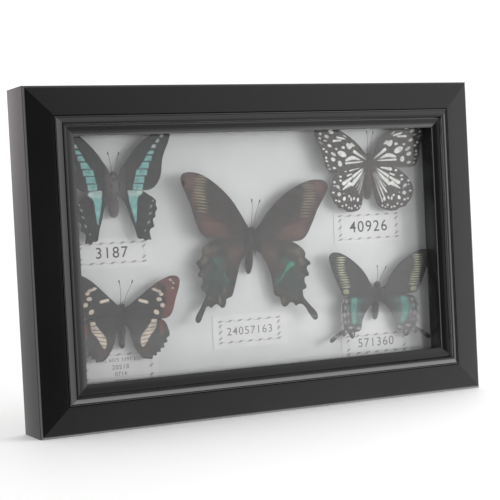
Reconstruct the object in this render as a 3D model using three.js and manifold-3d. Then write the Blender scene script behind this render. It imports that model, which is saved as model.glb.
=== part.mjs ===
// A deep wooden display frame with five dried butterflies behind an acrylic pane.
// Millimetres, +Z up. The frame stands on its bottom rail and faces -Y.
// The origin is under the middle of the frame, on the surface that it stands on.

import * as THREE from "three";
import { mergeVertices } from "three/addons/utils/BufferGeometryUtils.js";
import Module from "manifold-3d";

const wasm = await Module();
wasm.setup();

// Frame
const FRAME_WIDTH = 320;
const FRAME_HEIGHT = 214;
const SIDE_DEPTH = 32; // flat outer side of a rail, from its front arris to its back
const SIGHT_INSET = 31; // from the outer side to the edge that frames the view
const LIP_THICKNESS = 3.7; // front to back, at the sight edge
const MITRE_GAP = 0.15; // half of the gap left at each corner joint
const CLEARANCE = 0.2; // between pieces that lie against each other
const HANGER_THICKNESS = 1;
const CREST_HEIGHT = 4.3; // the moulding's highest fillet, in front of the arris

// Heights of the moulding in front of the arris, and where they lie from the outer side
const ARRIS_RADIUS = 1;
const TABLE_END = { inset: 18.2, rise: 2 };
const QUIRK = { from: 18.6, to: 19.1, rise: 1.1 };
const FILLET = { from: 19.4, crest: 21.1, to: 22.2, rise: 2.5, shoulder: 0.3, fall: 0.4 };
const COVE = { inset: 24.6, rise: 1.2, lead: 0.9 };
const BEAD = { inset: 27.6, rise: 3.5, to: 29.6, lead: 1.8, shoulder: 0.3, fall: 1.6 };
const SIGHT_RISE = 0.3;
const CURVE_SEGMENTS = 5;

// Depths behind the arris plane
const PANE_DEPTH = 11.3;
const PANE_THICKNESS = 1.2;
const CARD_DEPTH = 24;
const CARD_THICKNESS = 3;
const BACK_THICKNESS = 2.5;
const LINER_INSET = 30.7;
const LINER_THICKNESS = 1.8;
const REBATE_INSET = 22.2;
const SPACER_THICKNESS = 1.6;

// Fasteners at the back
const POINT = { length: 11, width: 6, thickness: 0.5, along: [0.28, 0.72] };
const HANGER = { width: 46, height: 10, teeth: 9, tooth: 1.6 };
const NAIL = { span: 38, radius: 1.6, sides: 16 };

// Butterflies
const WING_THICKNESS = 0.4;
const WING_DEPTH = 17.6; // forewing level over the body, behind the arris
const HINDWING_DROP = 0.9;
const WING_RISE = 4.8; // degrees by which each wing slants towards the pane
const BODY_DEPTH = 20.3;
const BODY_HALF_DEPTH = 3.4; // of the thorax, which all but touches the card
const BODY_SIDES = 10;
const ANTENNA = { radius: 0.3, sides: 5, steps: 4, lift: 1.4, sunk: 1.2 };
const CLUB = { radius: 0.5, halfLength: 1.3, sides: 6, rings: 5 };
// Legs leave the thorax at three heights; hip, knee and foot are given from there
const LEG = { radius: 0.35, sides: 4, steps: 3, roots: [1.6, -0.4, -2.4] };
const LEG_PATH = [[1.2, 0, -1], [4.6, 0.8, -1.2], [5.8, -3, -2.6]];
const LABEL_THICKNESS = 0.3;
const LABEL_GAP = 0.05; // between a label and the card
const MERGE_DISTANCE = 1e-4;

const depthTotal = CREST_HEIGHT + SIDE_DEPTH + HANGER_THICKNESS;
const arrisY = -depthTotal / 2 + CREST_HEIGHT;
const depthToY = (depth) => arrisY + depth;
const paneInset = REBATE_INSET + CLEARANCE;

const finish = (color, roughness, metalness = 0) =>
  new THREE.MeshStandardMaterial({ color, roughness, metalness });

const blackLacquer = finish(0x17171a, 0.35);
const glossBlack = finish(0x0a0a0b, 0.12);
const whiteCard = finish(0xd9dadc, 0.9);
const acrylic = new THREE.MeshStandardMaterial({ color: 0xeef0f2, transparent: true, opacity: 0.2 });
const hardboard = finish(0x7a5a3c, 0.85);
const steel = finish(0xb9bcc0, 0.35, 1);
const labelPaper = finish(0xe8e8e6, 0.85);

const model = new THREE.Group();

function add(name, geometry, material) {
  const mesh = new THREE.Mesh(geometry, material);
  mesh.name = name;
  model.add(mesh);
  return mesh;
}

// A block given by its two corners, as [x, depth behind the arris, z]
function addBlock(name, low, high, material) {
  const size = high.map((value, axis) => value - low[axis]);
  const mesh = add(name, new THREE.BoxGeometry(size[0], size[1], size[2]), material);
  mesh.position.set(low[0] + size[0] / 2, depthToY(low[1] + size[1] / 2), low[2] + size[2] / 2);
  return mesh;
}

// Cross-section of a rail: x is the inset from the outer side, y is the depth behind the arris
function railSection() {
  const section = new THREE.Shape();
  section.moveTo(0, SIDE_DEPTH);
  section.lineTo(0, ARRIS_RADIUS);
  section.absarc(ARRIS_RADIUS, ARRIS_RADIUS, ARRIS_RADIUS, Math.PI, 1.5 * Math.PI, false);
  section.lineTo(TABLE_END.inset, -TABLE_END.rise);
  section.lineTo(QUIRK.from, -QUIRK.rise);
  section.lineTo(QUIRK.to, -QUIRK.rise);
  section.lineTo(FILLET.from, -FILLET.rise);
  const filletShoulder = FILLET.from + FILLET.shoulder;
  section.quadraticCurveTo(filletShoulder, -CREST_HEIGHT, FILLET.crest, -CREST_HEIGHT);
  section.lineTo(FILLET.to, FILLET.fall - CREST_HEIGHT);
  section.quadraticCurveTo(COVE.inset - COVE.lead, -COVE.rise, COVE.inset, -COVE.rise);
  section.quadraticCurveTo(BEAD.inset - BEAD.lead, -BEAD.rise, BEAD.inset, -BEAD.rise);
  section.quadraticCurveTo(BEAD.to - BEAD.shoulder, -BEAD.rise, BEAD.to, BEAD.fall - BEAD.rise);
  section.lineTo(SIGHT_INSET, -SIGHT_RISE);
  section.lineTo(SIGHT_INSET, LIP_THICKNESS);
  section.lineTo(LINER_INSET - LINER_THICKNESS - CLEARANCE, LIP_THICKNESS);
  section.lineTo(LINER_INSET - LINER_THICKNESS - CLEARANCE, PANE_DEPTH - CLEARANCE);
  section.lineTo(REBATE_INSET, PANE_DEPTH - CLEARANCE);
  section.lineTo(REBATE_INSET, SIDE_DEPTH);
  section.closePath();
  return section;
}

// A mitred rail lies along X with its outer side down, then turns round the frame's centre
function addRail(name, length, halfSpan, turn) {
  const geometry = new THREE.ExtrudeGeometry(railSection(), {
    depth: 1,
    bevelEnabled: false,
    curveSegments: CURVE_SEGMENTS,
  });
  const position = geometry.getAttribute("position");
  for (let i = 0; i < position.count; i += 1) {
    const inset = position.getX(i);
    const depth = position.getY(i);
    const side = position.getZ(i) < 0.5 ? 1 : -1;
    const reach = length / 2 - inset - MITRE_GAP;
    position.setXYZ(i, side * reach, depthToY(depth), inset - halfSpan);
  }
  const mesh = add(name, geometry, blackLacquer);
  mesh.rotation.y = turn;
  mesh.position.z = FRAME_HEIGHT / 2;
}

// Four strips round an opening: the top and bottom ones run through, the sides stand between
function addStrips(name, inset, thickness, front, back, material) {
  const x = FRAME_WIDTH / 2 - inset;
  const low = inset;
  const high = FRAME_HEIGHT - inset;
  const inner = x - thickness;
  const sideLow = low + thickness + CLEARANCE;
  const sideHigh = high - thickness - CLEARANCE;
  addBlock(`${name}_top`, [-x, front, high - thickness], [x, back, high], material);
  addBlock(`${name}_bottom`, [-x, front, low], [x, back, low + thickness], material);
  addBlock(`${name}_left`, [-x, front, sideLow], [-inner, back, sideHigh], material);
  addBlock(`${name}_right`, [inner, front, sideLow], [x, back, sideHigh], material);
}

// A sheet that fills the rebate
function addSheet(name, front, thickness, material) {
  const x = FRAME_WIDTH / 2 - paneInset;
  addBlock(name, [-x, front, paneInset], [x, front + thickness, FRAME_HEIGHT - paneInset], material);
}

addRail("rail_bottom", FRAME_WIDTH, FRAME_HEIGHT / 2, 0);
addRail("rail_left", FRAME_HEIGHT, FRAME_WIDTH / 2, Math.PI / 2);
addRail("rail_top", FRAME_WIDTH, FRAME_HEIGHT / 2, Math.PI);
addRail("rail_right", FRAME_HEIGHT, FRAME_WIDTH / 2, -Math.PI / 2);

const linerOuter = LINER_INSET - LINER_THICKNESS;
const linerBack = PANE_DEPTH - CLEARANCE;
addStrips("liner", linerOuter, LINER_THICKNESS, LIP_THICKNESS + CLEARANCE, linerBack, glossBlack);
addSheet("pane", PANE_DEPTH, PANE_THICKNESS, acrylic);
const spacerFront = PANE_DEPTH + PANE_THICKNESS + CLEARANCE;
addStrips("spacer", paneInset, SPACER_THICKNESS, spacerFront, CARD_DEPTH - CLEARANCE, glossBlack);
addSheet("mount_card", CARD_DEPTH, CARD_THICKNESS, whiteCard);
const backDepth = CARD_DEPTH + CARD_THICKNESS + CLEARANCE;
addSheet("back_board", backDepth, BACK_THICKNESS, hardboard);

// Flat steel points lie on the back board, with their outer ends at the rebate's wall
const pointFront = backDepth + BACK_THICKNESS + CLEARANCE;
const pointBack = pointFront + POINT.thickness;
POINT.along.forEach((share, i) => {
  const x = (share - 0.5) * (FRAME_WIDTH - 2 * paneInset);
  const z = paneInset + share * (FRAME_HEIGHT - 2 * paneInset);
  const half = POINT.width / 2;
  const side = FRAME_WIDTH / 2 - paneInset;
  const top = FRAME_HEIGHT - paneInset;
  const nearTop = top - POINT.length;
  const nearSide = side - POINT.length;
  addBlock(`point_top_${i + 1}`, [x - half, pointFront, nearTop], [x + half, pointBack, top], steel);
  addBlock(
    `point_bottom_${i + 1}`,
    [x - half, pointFront, paneInset],
    [x + half, pointBack, paneInset + POINT.length],
    steel,
  );
  addBlock(`point_left_${i + 1}`, [-side, pointFront, z - half], [-nearSide, pointBack, z + half], steel);
  addBlock(`point_right_${i + 1}`, [nearSide, pointFront, z - half], [side, pointBack, z + half], steel);
});

// manifold-3d joins and cuts closed meshes
function toSolid(geometry) {
  const bare = geometry.clone();
  bare.deleteAttribute("normal");
  bare.deleteAttribute("uv");
  const merged = mergeVertices(bare, MERGE_DISTANCE);
  const vertProperties = new Float32Array(merged.getAttribute("position").array);
  const triVerts = new Uint32Array(merged.getIndex().array);
  return new wasm.Manifold(new wasm.Mesh({ numProp: 3, vertProperties, triVerts }));
}

function toGeometry(solid) {
  const { vertProperties, triVerts } = solid.getMesh();
  const geometry = new THREE.BufferGeometry();
  geometry.setAttribute("position", new THREE.Float32BufferAttribute(vertProperties, 3));
  geometry.setIndex(new THREE.Uint32BufferAttribute(triVerts, 1));
  geometry.computeVertexNormals();
  return geometry;
}

// The hanger's plate has teeth along its lower edge and two nail heads on it
function hangerSolid() {
  const plate = new THREE.Shape();
  const half = HANGER.width / 2;
  plate.moveTo(-half, HANGER.height);
  plate.lineTo(-half, 0);
  const toothedHalf = half - HANGER.height;
  const pitch = (2 * toothedHalf) / HANGER.teeth;
  for (let i = 0; i < HANGER.teeth; i += 1) {
    const start = -toothedHalf + i * pitch;
    plate.lineTo(start, 0);
    plate.lineTo(start + pitch / 2, HANGER.tooth);
  }
  plate.lineTo(toothedHalf, 0);
  plate.lineTo(half, 0);
  plate.lineTo(half, HANGER.height);
  plate.closePath();
  const plateThickness = HANGER_THICKNESS / 2;
  const sheet = new THREE.ExtrudeGeometry(plate, { depth: plateThickness, bevelEnabled: false });
  const heads = [-1, 1].map((side) => {
    const head = new THREE.CylinderGeometry(NAIL.radius, NAIL.radius, HANGER_THICKNESS, NAIL.sides);
    head.rotateX(Math.PI / 2);
    head.translate((side * NAIL.span) / 2, HANGER.height / 2, HANGER_THICKNESS / 2);
    return head;
  });
  return [sheet, ...heads].map(toSolid).reduce((joined, solid) => joined.add(solid));
}

const hanger = add("hanger", toGeometry(hangerSolid()), steel);
hanger.rotation.set(Math.PI / 2, 0, Math.PI, "ZYX");
hanger.position.set(0, depthToY(SIDE_DEPTH), FRAME_HEIGHT - (REBATE_INSET + HANGER.height) / 2);

// Wing outlines of the right-hand side, with x outward from the body's axis and y to the head

const bluebottle = {
  name: "butterfly_bluebottle",
  centre: [-97.9, 152],
  tilt: -1.9,
  color: 0x23282b,
  turns: { foreLeft: -1, foreRight: 0, hindLeft: -5, hindRight: 0 },
  fore: [
    [0.5, 3.5], [2.6, 6.5], [4.5, 11], [7.5, 15.2], [10.5, 19.5], [14, 23.5], [18, 27.5], [22, 30.8],
    [26, 33.4], [30, 35.2], [34, 36.2], [36.6, 36], [37.4, 34.2], [36.9, 31.5], [35.6, 27], [33.2, 21.5],
    [31.8, 17], [31.2, 12.5], [30.8, 8], [29.6, 4], [27.6, 0.8], [25, -1.6], [21.5, -2.8], [16, -3],
    [9, -2.8], [4, -2.4], [0.5, -1.5],
  ],
  hind: [
    [0.5, 0], [6, 0.4], [13, -0.6], [19.5, -3.6], [22.5, -5.6], [25.6, -7.6], [27.4, -9.6], [27.2, -12],
    [28, -14.8], [26.8, -17], [26.8, -19.6], [25.2, -21.2], [25.4, -23.6], [25.8, -26], [23.8, -27.2],
    [22.8, -29], [23.2, -31.8], [23.7, -34.3], [21.7, -34.2], [20, -35], [18.4, -33.6], [16.6, -33.7],
    [15, -33], [13.8, -29.5], [12.6, -25.5], [10.4, -20], [8.4, -14], [5.8, -9.6], [3, -6.8], [0.5, -5],
  ],
  body: [[-19.6, 0], [-18.8, 1.6], [-15, 2.8], [-10, 2.7], [-5.5, 2.2], [-2, 3.1], [1.5, 3.4], [4.2, 2.4],
    [5, 1.5], [6.3, 1.9], [7.4, 1.1], [7.8, 0]],
  antenna: [[0.7, 7], [1.6, 13], [3.4, 20]],
};

const peacock = {
  name: "butterfly_peacock",
  centre: [-3.6, 110.5],
  tilt: -4,
  color: 0x2b2a28,
  turns: { foreLeft: 2, foreRight: 0, hindLeft: -4, hindRight: 0 },
  fore: [
    [0.5, 6.5], [3, 10], [5.2, 13], [8, 17], [11.2, 21.2], [15, 26], [19.8, 30.6], [25, 34.8], [30, 38],
    [35, 40.7], [40, 42.6], [45, 43.4], [50, 43.1], [53, 41.6], [54, 38.8], [53, 35.4], [50.9, 31.3],
    [48.5, 27], [46.4, 23.2], [44.9, 19.4], [43.5, 15.8], [42, 12.4], [40.6, 9.4], [38.9, 6.3],
    [36.8, 3.9], [34, 2.4], [30, 1.7], [22, 1.2], [12, 0.8], [4, 0.4], [0.5, 0.2],
  ],
  hind: [
    [0.5, 3], [8, 4.5], [18, 4.2], [26, 2.6], [31.5, 0.4], [35.4, -2], [37.6, -4.2], [38.7, -6.6],
    [38.4, -8.6], [40.2, -10.2], [42, -11.9], [42.3, -13.3], [40, -14.8], [40, -17], [41.3, -19.6],
    [41, -21.1], [38.7, -21.9], [38.4, -25], [39.8, -28.3], [39, -29.8], [37.3, -30.6], [37.2, -33],
    [38, -35.6], [40.2, -38.2], [43.2, -41.3], [46.2, -44.2], [48.1, -47.2], [48.1, -49.6],
    [46.4, -50.7], [44.4, -49.6], [42, -46.4], [39.4, -42.6], [36.8, -40.3], [34.4, -40], [32.4, -41.2],
    [30.7, -39.4], [28.2, -39], [25.8, -41.4], [23.6, -41.7], [21.9, -40.2], [20.8, -35.6],
    [18.4, -34.8], [16.9, -33.6], [15.9, -29.5], [15.1, -24.5], [13.8, -19.5], [11.3, -14],
    [8.6, -9.4], [5.6, -5.8], [3, -4.4], [0.5, -3.6],
  ],
  body: [[-20, 0], [-19.2, 1.5], [-15.5, 2.5], [-10, 2.6], [-5.5, 2.3], [-2, 3.6], [2, 4.2], [5.6, 3],
    [6.8, 1.8], [8.3, 2.2], [9.7, 1.3], [10.2, 0]],
  antenna: [[0.9, 9], [1.2, 18], [2.8, 28]],
};

const tiger = {
  name: "butterfly_tiger",
  centre: [89.4, 159.3],
  tilt: 2,
  bodyTurn: -6.5,
  color: 0x2d2a29,
  turns: { foreLeft: 0, foreRight: 0, hindLeft: 0, hindRight: -6 },
  fore: [
    [0.5, 3], [3, 7.6], [5.6, 11.3], [8.4, 14.4], [12.8, 18.2], [17.5, 21.6], [22.2, 24.4], [27, 26.5],
    [32, 27.7], [37, 28.1], [41, 27.6], [43.4, 25.8], [43.9, 23], [43, 19.6], [41.5, 15.8], [40, 12.4],
    [39.2, 9.3], [38.4, 6], [37.4, 2.4], [35.8, -0.9], [34, -3], [31.4, -3.7], [27, -3.6], [22, -3.1],
    [15, -2.2], [8, -1.5], [0.5, -1],
  ],
  hind: [
    [0.5, 0.5], [8, 1], [16, 0], [22, -2], [26, -4.4], [29.4, -7], [31.7, -10], [33.3, -13.2],
    [34, -16], [33.7, -18.8], [32.7, -21.6], [31.4, -23.9], [29.9, -25.2], [28.4, -27.3], [25.7, -28.3],
    [23.3, -29.2], [22, -30.4], [18.9, -31], [15.6, -31], [12.3, -30.4], [10, -28.7], [8.6, -26],
    [7.6, -22], [6.5, -17], [5.3, -11.4], [3.6, -6.6], [0.5, -4],
  ],
  body: [[-23.2, 0], [-22.4, 1.3], [-18, 2.3], [-12, 2.3], [-6, 1.9], [-2, 2.8], [1.5, 3.1], [4.2, 2.3],
    [5, 1.4], [6, 1.6], [7, 1], [7.4, 0]],
  antenna: [[0.6, 6.4], [1, 14], [2.4, 22]],
};

const admiral = {
  name: "butterfly_admiral",
  centre: [-96.8, 70],
  tilt: -2.8,
  color: 0x2a2120,
  turns: { foreLeft: 3, foreRight: 0, hindLeft: -2, hindRight: 0 },
  fore: [
    [0.5, 4], [4.6, 6.9], [8, 9.5], [12, 12.6], [16, 15.8], [20, 19], [24.5, 21.8], [28, 23.5],
    [31.2, 24.7], [34.2, 24.8], [36.5, 23.9], [37.6, 22], [37.5, 19.2], [36.8, 15.8], [35.6, 12.2],
    [34.6, 9], [33.9, 5.8], [32.9, 2.4], [31.4, -0.4], [29.2, -2], [26, -2.6], [20, -2.2], [12, -1.9],
    [5, -1.8], [0.5, -1.6],
  ],
  hind: [
    [0.5, 0], [8, 0.6], [16, 0], [22, -1.6], [26.6, -3.3], [28.8, -5.6], [30.1, -8.6], [30.7, -11.4],
    [30.6, -14], [29.2, -15.6], [28.9, -17.4], [27.4, -18.4], [26.9, -20.6], [25.4, -21.6],
    [24.6, -23.3], [22.8, -24.2], [21.9, -25.6], [20.3, -26.2], [19.4, -27.7], [17, -28.2],
    [14.6, -27.8], [12.4, -26.6], [10.6, -24.2], [8.2, -21], [6.4, -17], [5.2, -12.4], [3.6, -8],
    [0.5, -5],
  ],
  body: [[-20.6, 0], [-19.8, 1.1], [-15, 1.6], [-10, 1.7], [-6, 1.6], [-2.5, 2.7], [1, 3.1], [3.6, 2.3],
    [4.4, 1.4], [5.4, 1.6], [6.3, 0.9], [6.6, 0]],
  antenna: [[0.8, 5.8], [2, 13], [4.3, 21]],
};

const banded = {
  name: "butterfly_banded",
  centre: [91.3, 70.5],
  tilt: 0,
  color: 0x26282a,
  turns: { foreLeft: 0, foreRight: -3, hindLeft: 0, hindRight: -5 },
  fore: [
    [0.5, 3.5], [4.6, 5], [6.8, 8.4], [9, 12.4], [12, 16.5], [15.6, 20.2], [20, 23.8], [25, 27.1],
    [30, 29.5], [34, 30.4], [37.4, 30.1], [39.3, 28.4], [39.6, 25.8], [38.9, 22.2], [37.4, 18.2],
    [35.6, 13.6], [33.6, 8.8], [31.8, 4.6], [30.2, 1.7], [27.8, 0.4], [22, -0.2], [12, -0.4], [4, -0.4],
    [0.5, -0.4],
  ],
  hind: [
    [0.5, 1], [8, 1.4], [18, 1], [25, -0.2], [29.2, -1.6], [30.9, -3.4], [30.3, -5], [32, -6.6],
    [31, -8.6], [31.2, -10.4], [32.2, -12.6], [31, -14.6], [31.2, -16.4], [31.8, -18.6], [31, -20.6],
    [31.4, -22.4], [34.5, -24.2], [38.2, -26.2], [41.2, -28], [41.8, -29.6], [40.4, -30.6],
    [38.2, -29.8], [35.8, -27.9], [33.2, -26.3], [31.6, -25.8], [30.4, -27.1], [28.9, -26.8],
    [27.8, -25.8], [25.9, -26], [24.6, -28.4], [22.6, -29.2], [20.9, -27.8], [20.3, -25],
    [17.2, -24.8], [15.4, -23], [14.6, -20], [13.6, -17], [12, -14], [10, -11.4], [8, -9],
    [5.4, -7.2], [3, -6.2], [0.5, -5],
  ],
  body: [[-17.6, 0], [-16.8, 1.3], [-13, 2.2], [-9, 2.2], [-5, 1.9], [-1.5, 3.1], [2, 3.4], [4.4, 2.4],
    [5.2, 1.4], [6.2, 1.7], [7.1, 1], [7.5, 0]],
  antenna: [[0.8, 6.6], [1.5, 12], [3.2, 18]],
};

const SPECIMENS = [bluebottle, peacock, tiger, admiral, banded];
const WING_STEPS = 48;

// A wing is a thin plate. Its turn raises the tip in the wing's own plane, round its root.
function wingSolid(points, side, turn, level) {
  const control = points.map(([x, y]) => new THREE.Vector3(x, y, 0));
  const steps = Math.max(WING_STEPS, points.length);
  const outline = new THREE.CatmullRomCurve3(control, true, "centripetal").getPoints(steps);
  outline.pop();
  const angle = THREE.MathUtils.degToRad(turn);
  const turned = outline.map((point) => {
    const x = point.x * Math.cos(angle) - point.y * Math.sin(angle);
    const y = point.x * Math.sin(angle) + point.y * Math.cos(angle);
    return new THREE.Vector2(side * x, y);
  });
  const shape = new THREE.Shape(turned);
  const plate = new THREE.ExtrudeGeometry(shape, { depth: WING_THICKNESS, bevelEnabled: false });
  plate.rotateY(THREE.MathUtils.degToRad(-side * WING_RISE));
  plate.translate(0, 0, level);
  return toSolid(plate);
}

// A round-bodied solid along y from radii at chosen heights
function bodySolid(stations) {
  const profile = stations.map(([y, radius]) => new THREE.Vector2(radius, y));
  const body = new THREE.LatheGeometry(profile, BODY_SIDES);
  const widest = Math.max(...stations.map((station) => station[1]));
  body.scale(1, 1, BODY_HALF_DEPTH / widest);
  return toSolid(body);
}

// A thin feeler or limb through three points, with a section of few sides
function limbSolid(points, { radius, sides, steps }) {
  const section = new THREE.Shape();
  for (let i = 0; i < sides; i += 1) {
    const angle = (2 * Math.PI * i) / sides;
    const place = [radius * Math.cos(angle), radius * Math.sin(angle)];
    if (i === 0) section.moveTo(...place);
    else section.lineTo(...place);
  }
  section.closePath();
  const path = new THREE.CatmullRomCurve3(points.map((point) => new THREE.Vector3(...point)));
  return toSolid(new THREE.ExtrudeGeometry(section, { steps, bevelEnabled: false, extrudePath: path }));
}

function antennaSolids([root, middle, tip], side) {
  const path = [
    [side * root[0], root[1] - ANTENNA.sunk, 0],
    [side * middle[0], middle[1], ANTENNA.lift / 2],
    [side * tip[0], tip[1], ANTENNA.lift],
  ];
  const club = new THREE.SphereGeometry(CLUB.radius, CLUB.sides, CLUB.rings);
  club.scale(1, CLUB.halfLength / CLUB.radius, 1);
  club.rotateZ(-side * Math.atan2(tip[0] - middle[0], tip[1] - middle[1]));
  club.translate(side * tip[0], tip[1], ANTENNA.lift);
  return [limbSolid(path, ANTENNA), toSolid(club)];
}

// Folded legs: three on each side, out of the thorax and back under the wings
function legSolids(side) {
  return LEG.roots.map((root) => {
    const path = LEG_PATH.map(([x, y, z]) => [side * x, root + y, z]);
    return limbSolid(path, LEG);
  });
}

function butterflyGeometry(kind) {
  const foreLevel = BODY_DEPTH - WING_DEPTH;
  const hindLevel = foreLevel - HINDWING_DROP;
  const body = [bodySolid(kind.body)];
  for (const side of [-1, 1]) {
    body.push(...antennaSolids(kind.antenna, side), ...legSolids(side));
  }
  const bodyTurn = kind.bodyTurn ?? 0;
  const wings = [
    wingSolid(kind.fore, -1, kind.turns.foreLeft, foreLevel),
    wingSolid(kind.fore, 1, kind.turns.foreRight, foreLevel),
    wingSolid(kind.hind, -1, kind.turns.hindLeft, hindLevel),
    wingSolid(kind.hind, 1, kind.turns.hindRight, hindLevel),
  ];
  const turnedBody = body.map((solid) => solid.rotate([0, 0, bodyTurn]));
  return toGeometry([...turnedBody, ...wings].reduce((joined, solid) => joined.add(solid)));
}

for (const kind of SPECIMENS) {
  const mesh = add(kind.name, butterflyGeometry(kind), finish(kind.color, 0.75));
  mesh.rotation.set(Math.PI / 2, THREE.MathUtils.degToRad(-kind.tilt), 0, "YXZ");
  mesh.position.set(kind.centre[0], depthToY(BODY_DEPTH), kind.centre[1]);
}

// Paper labels on the card, given by their centre, width and height
const LABELS = [
  { name: "label_bluebottle", centre: [-99.5, 109.8], size: [55, 19] },
  { name: "label_peacock", centre: [-5, 53], size: [55, 22] },
  { name: "label_tiger", centre: [89.6, 117], size: [55, 21] },
  { name: "label_admiral", centre: [-99.5, 38], size: [55, 21] },
  { name: "label_banded", centre: [91.5, 36], size: [55, 19] },
];
for (const { name, centre, size } of LABELS) {
  const mesh = add(name, new THREE.BoxGeometry(size[0], LABEL_THICKNESS, size[1]), labelPaper);
  const depth = CARD_DEPTH - LABEL_GAP - LABEL_THICKNESS / 2;
  mesh.position.set(centre[0], depthToY(depth), centre[1]);
}

export default model;
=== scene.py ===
# A deep black display frame with five dried butterflies and their labels behind an acrylic pane.
# The script works in millimetres and degrees; a mesh is turned into metres when it is made.

import math

import bmesh
import bpy
import numpy as np
from mathutils import Matrix, Vector
from mathutils.geometry import delaunay_2d_cdt


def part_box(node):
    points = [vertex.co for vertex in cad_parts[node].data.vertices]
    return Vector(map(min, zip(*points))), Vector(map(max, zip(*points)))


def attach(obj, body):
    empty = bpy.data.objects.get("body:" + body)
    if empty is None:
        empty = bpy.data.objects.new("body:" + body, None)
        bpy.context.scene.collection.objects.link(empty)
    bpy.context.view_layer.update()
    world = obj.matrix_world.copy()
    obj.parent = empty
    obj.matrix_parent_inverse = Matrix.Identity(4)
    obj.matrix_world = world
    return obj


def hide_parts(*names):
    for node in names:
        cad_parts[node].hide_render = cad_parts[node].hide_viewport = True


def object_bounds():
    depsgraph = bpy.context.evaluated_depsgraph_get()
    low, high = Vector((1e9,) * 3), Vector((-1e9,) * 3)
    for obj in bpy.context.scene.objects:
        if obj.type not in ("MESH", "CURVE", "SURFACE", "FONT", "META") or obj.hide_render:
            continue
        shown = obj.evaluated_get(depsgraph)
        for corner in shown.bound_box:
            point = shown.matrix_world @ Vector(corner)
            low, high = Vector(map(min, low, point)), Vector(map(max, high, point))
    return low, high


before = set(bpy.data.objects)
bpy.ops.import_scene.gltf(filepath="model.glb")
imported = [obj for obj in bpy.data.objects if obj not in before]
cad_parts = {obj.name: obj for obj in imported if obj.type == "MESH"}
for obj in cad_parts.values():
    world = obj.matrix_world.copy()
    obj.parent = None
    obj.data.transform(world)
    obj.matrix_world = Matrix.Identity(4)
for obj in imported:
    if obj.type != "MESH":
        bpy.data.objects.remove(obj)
cad_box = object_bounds()

MM = 0.001
SEED = 7


# Frame dimensions, as built

def node_box(name):
    low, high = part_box(name)
    return [value / MM for value in low], [value / MM for value in high]


whole_low, whole_high = (corner / MM for corner in cad_box)
FRAME_WIDTH = whole_high.x - whole_low.x
FRAME_HEIGHT = whole_high.z - whole_low.z
CREST_HEIGHT = 4.3
ARRIS_Y = whole_low.y + CREST_HEIGHT
SIDE_DEPTH = 32
CARD_DEPTH = node_box("mount_card")[0][1] - ARRIS_Y


def depth_to_y(depth):
    """A depth behind the frame's front arris, as a place along Y"""
    return ARRIS_Y + depth


# Camera, from the photograph's vanishing lines

CAMERA_PLACE = Vector((-416.8, -843.35, 134.1)) * MM
CAMERA_YAW = 25.93
CAMERA_PITCH = -1.70
CAMERA_ROLL = 2.89
LENS = 102.8
SENSOR = 36


def add_camera():
    yaw, pitch, roll = (math.radians(a) for a in (CAMERA_YAW, CAMERA_PITCH, CAMERA_ROLL))
    ahead = Vector((math.sin(yaw) * math.cos(pitch), math.cos(yaw) * math.cos(pitch), math.sin(pitch)))
    level_right = Vector((math.cos(yaw), -math.sin(yaw), 0))
    level_up = level_right.cross(ahead)
    right = level_right * math.cos(roll) - level_up * math.sin(roll)
    up = level_up * math.cos(roll) + level_right * math.sin(roll)
    turn = Matrix((right, up, -ahead)).transposed().to_4x4()
    lens = bpy.data.cameras.new("camera")
    lens.lens = LENS
    lens.sensor_width = SENSOR
    lens.clip_start = 0.05
    camera = bpy.data.objects.new("camera", lens)
    camera.matrix_world = Matrix.Translation(CAMERA_PLACE) @ turn
    bpy.context.scene.collection.objects.link(camera)
    bpy.context.scene.camera = camera


add_camera()


# Node trees: a socket that can be used in Python expressions

class Wire:
    """An output socket. Sums, products and comparisons of it add Math nodes."""

    def __init__(self, graph, socket):
        self.graph = graph
        self.socket = socket

    def math(self, operation, *others):
        inputs = dict(enumerate((self, *others)))
        return self.graph.node("ShaderNodeMath", {"operation": operation}, inputs)

    def __add__(self, other):
        return self.math("ADD", other)

    def __sub__(self, other):
        return self.math("SUBTRACT", other)

    def __rsub__(self, other):
        return self.graph.node("ShaderNodeMath", {"operation": "SUBTRACT"}, {0: other, 1: self})

    def __mul__(self, other):
        return self.math("MULTIPLY", other)

    def __truediv__(self, other):
        return self.math("DIVIDE", other)

    def __neg__(self):
        return self.math("MULTIPLY", -1.0)

    __radd__ = __add__
    __rmul__ = __mul__

    def other(self, output):
        """Another output of the node that this one belongs to"""
        return Wire(self.graph, self.socket.node.outputs[output])

    def smooth(self, low, high, to_low=0.0, to_high=1.0):
        """Eased from to_low to to_high while this value goes from low to high"""
        inputs = {"Value": self, "From Min": low, "From Max": high, "To Min": to_low, "To Max": to_high}
        return self.graph.node("ShaderNodeMapRange", {"interpolation_type": "SMOOTHSTEP"}, inputs)


class Graph:
    """A shader or geometry tree, with one way to add any node"""

    def __init__(self, tree):
        self.tree = tree

    def connect(self, socket, value):
        if isinstance(value, Wire):
            self.tree.links.new(value.socket, socket)
        else:
            socket.default_value = value

    def node(self, kind, settings=None, inputs=None, output=0):
        made = self.tree.nodes.new(kind)
        for name, value in (settings or {}).items():
            setattr(made, name, value)
        for name, value in (inputs or {}).items():
            self.connect(made.inputs[name], value)
        return Wire(self, made.outputs[output])

    def mix(self, factor, first, second):
        """A colour between first and second"""
        first, second = ((*c, 1.0) if isinstance(c, tuple) else c for c in (first, second))
        return self.node("ShaderNodeMix", {"data_type": "RGBA"}, {0: factor, 6: first, 7: second}, output=2)


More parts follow.
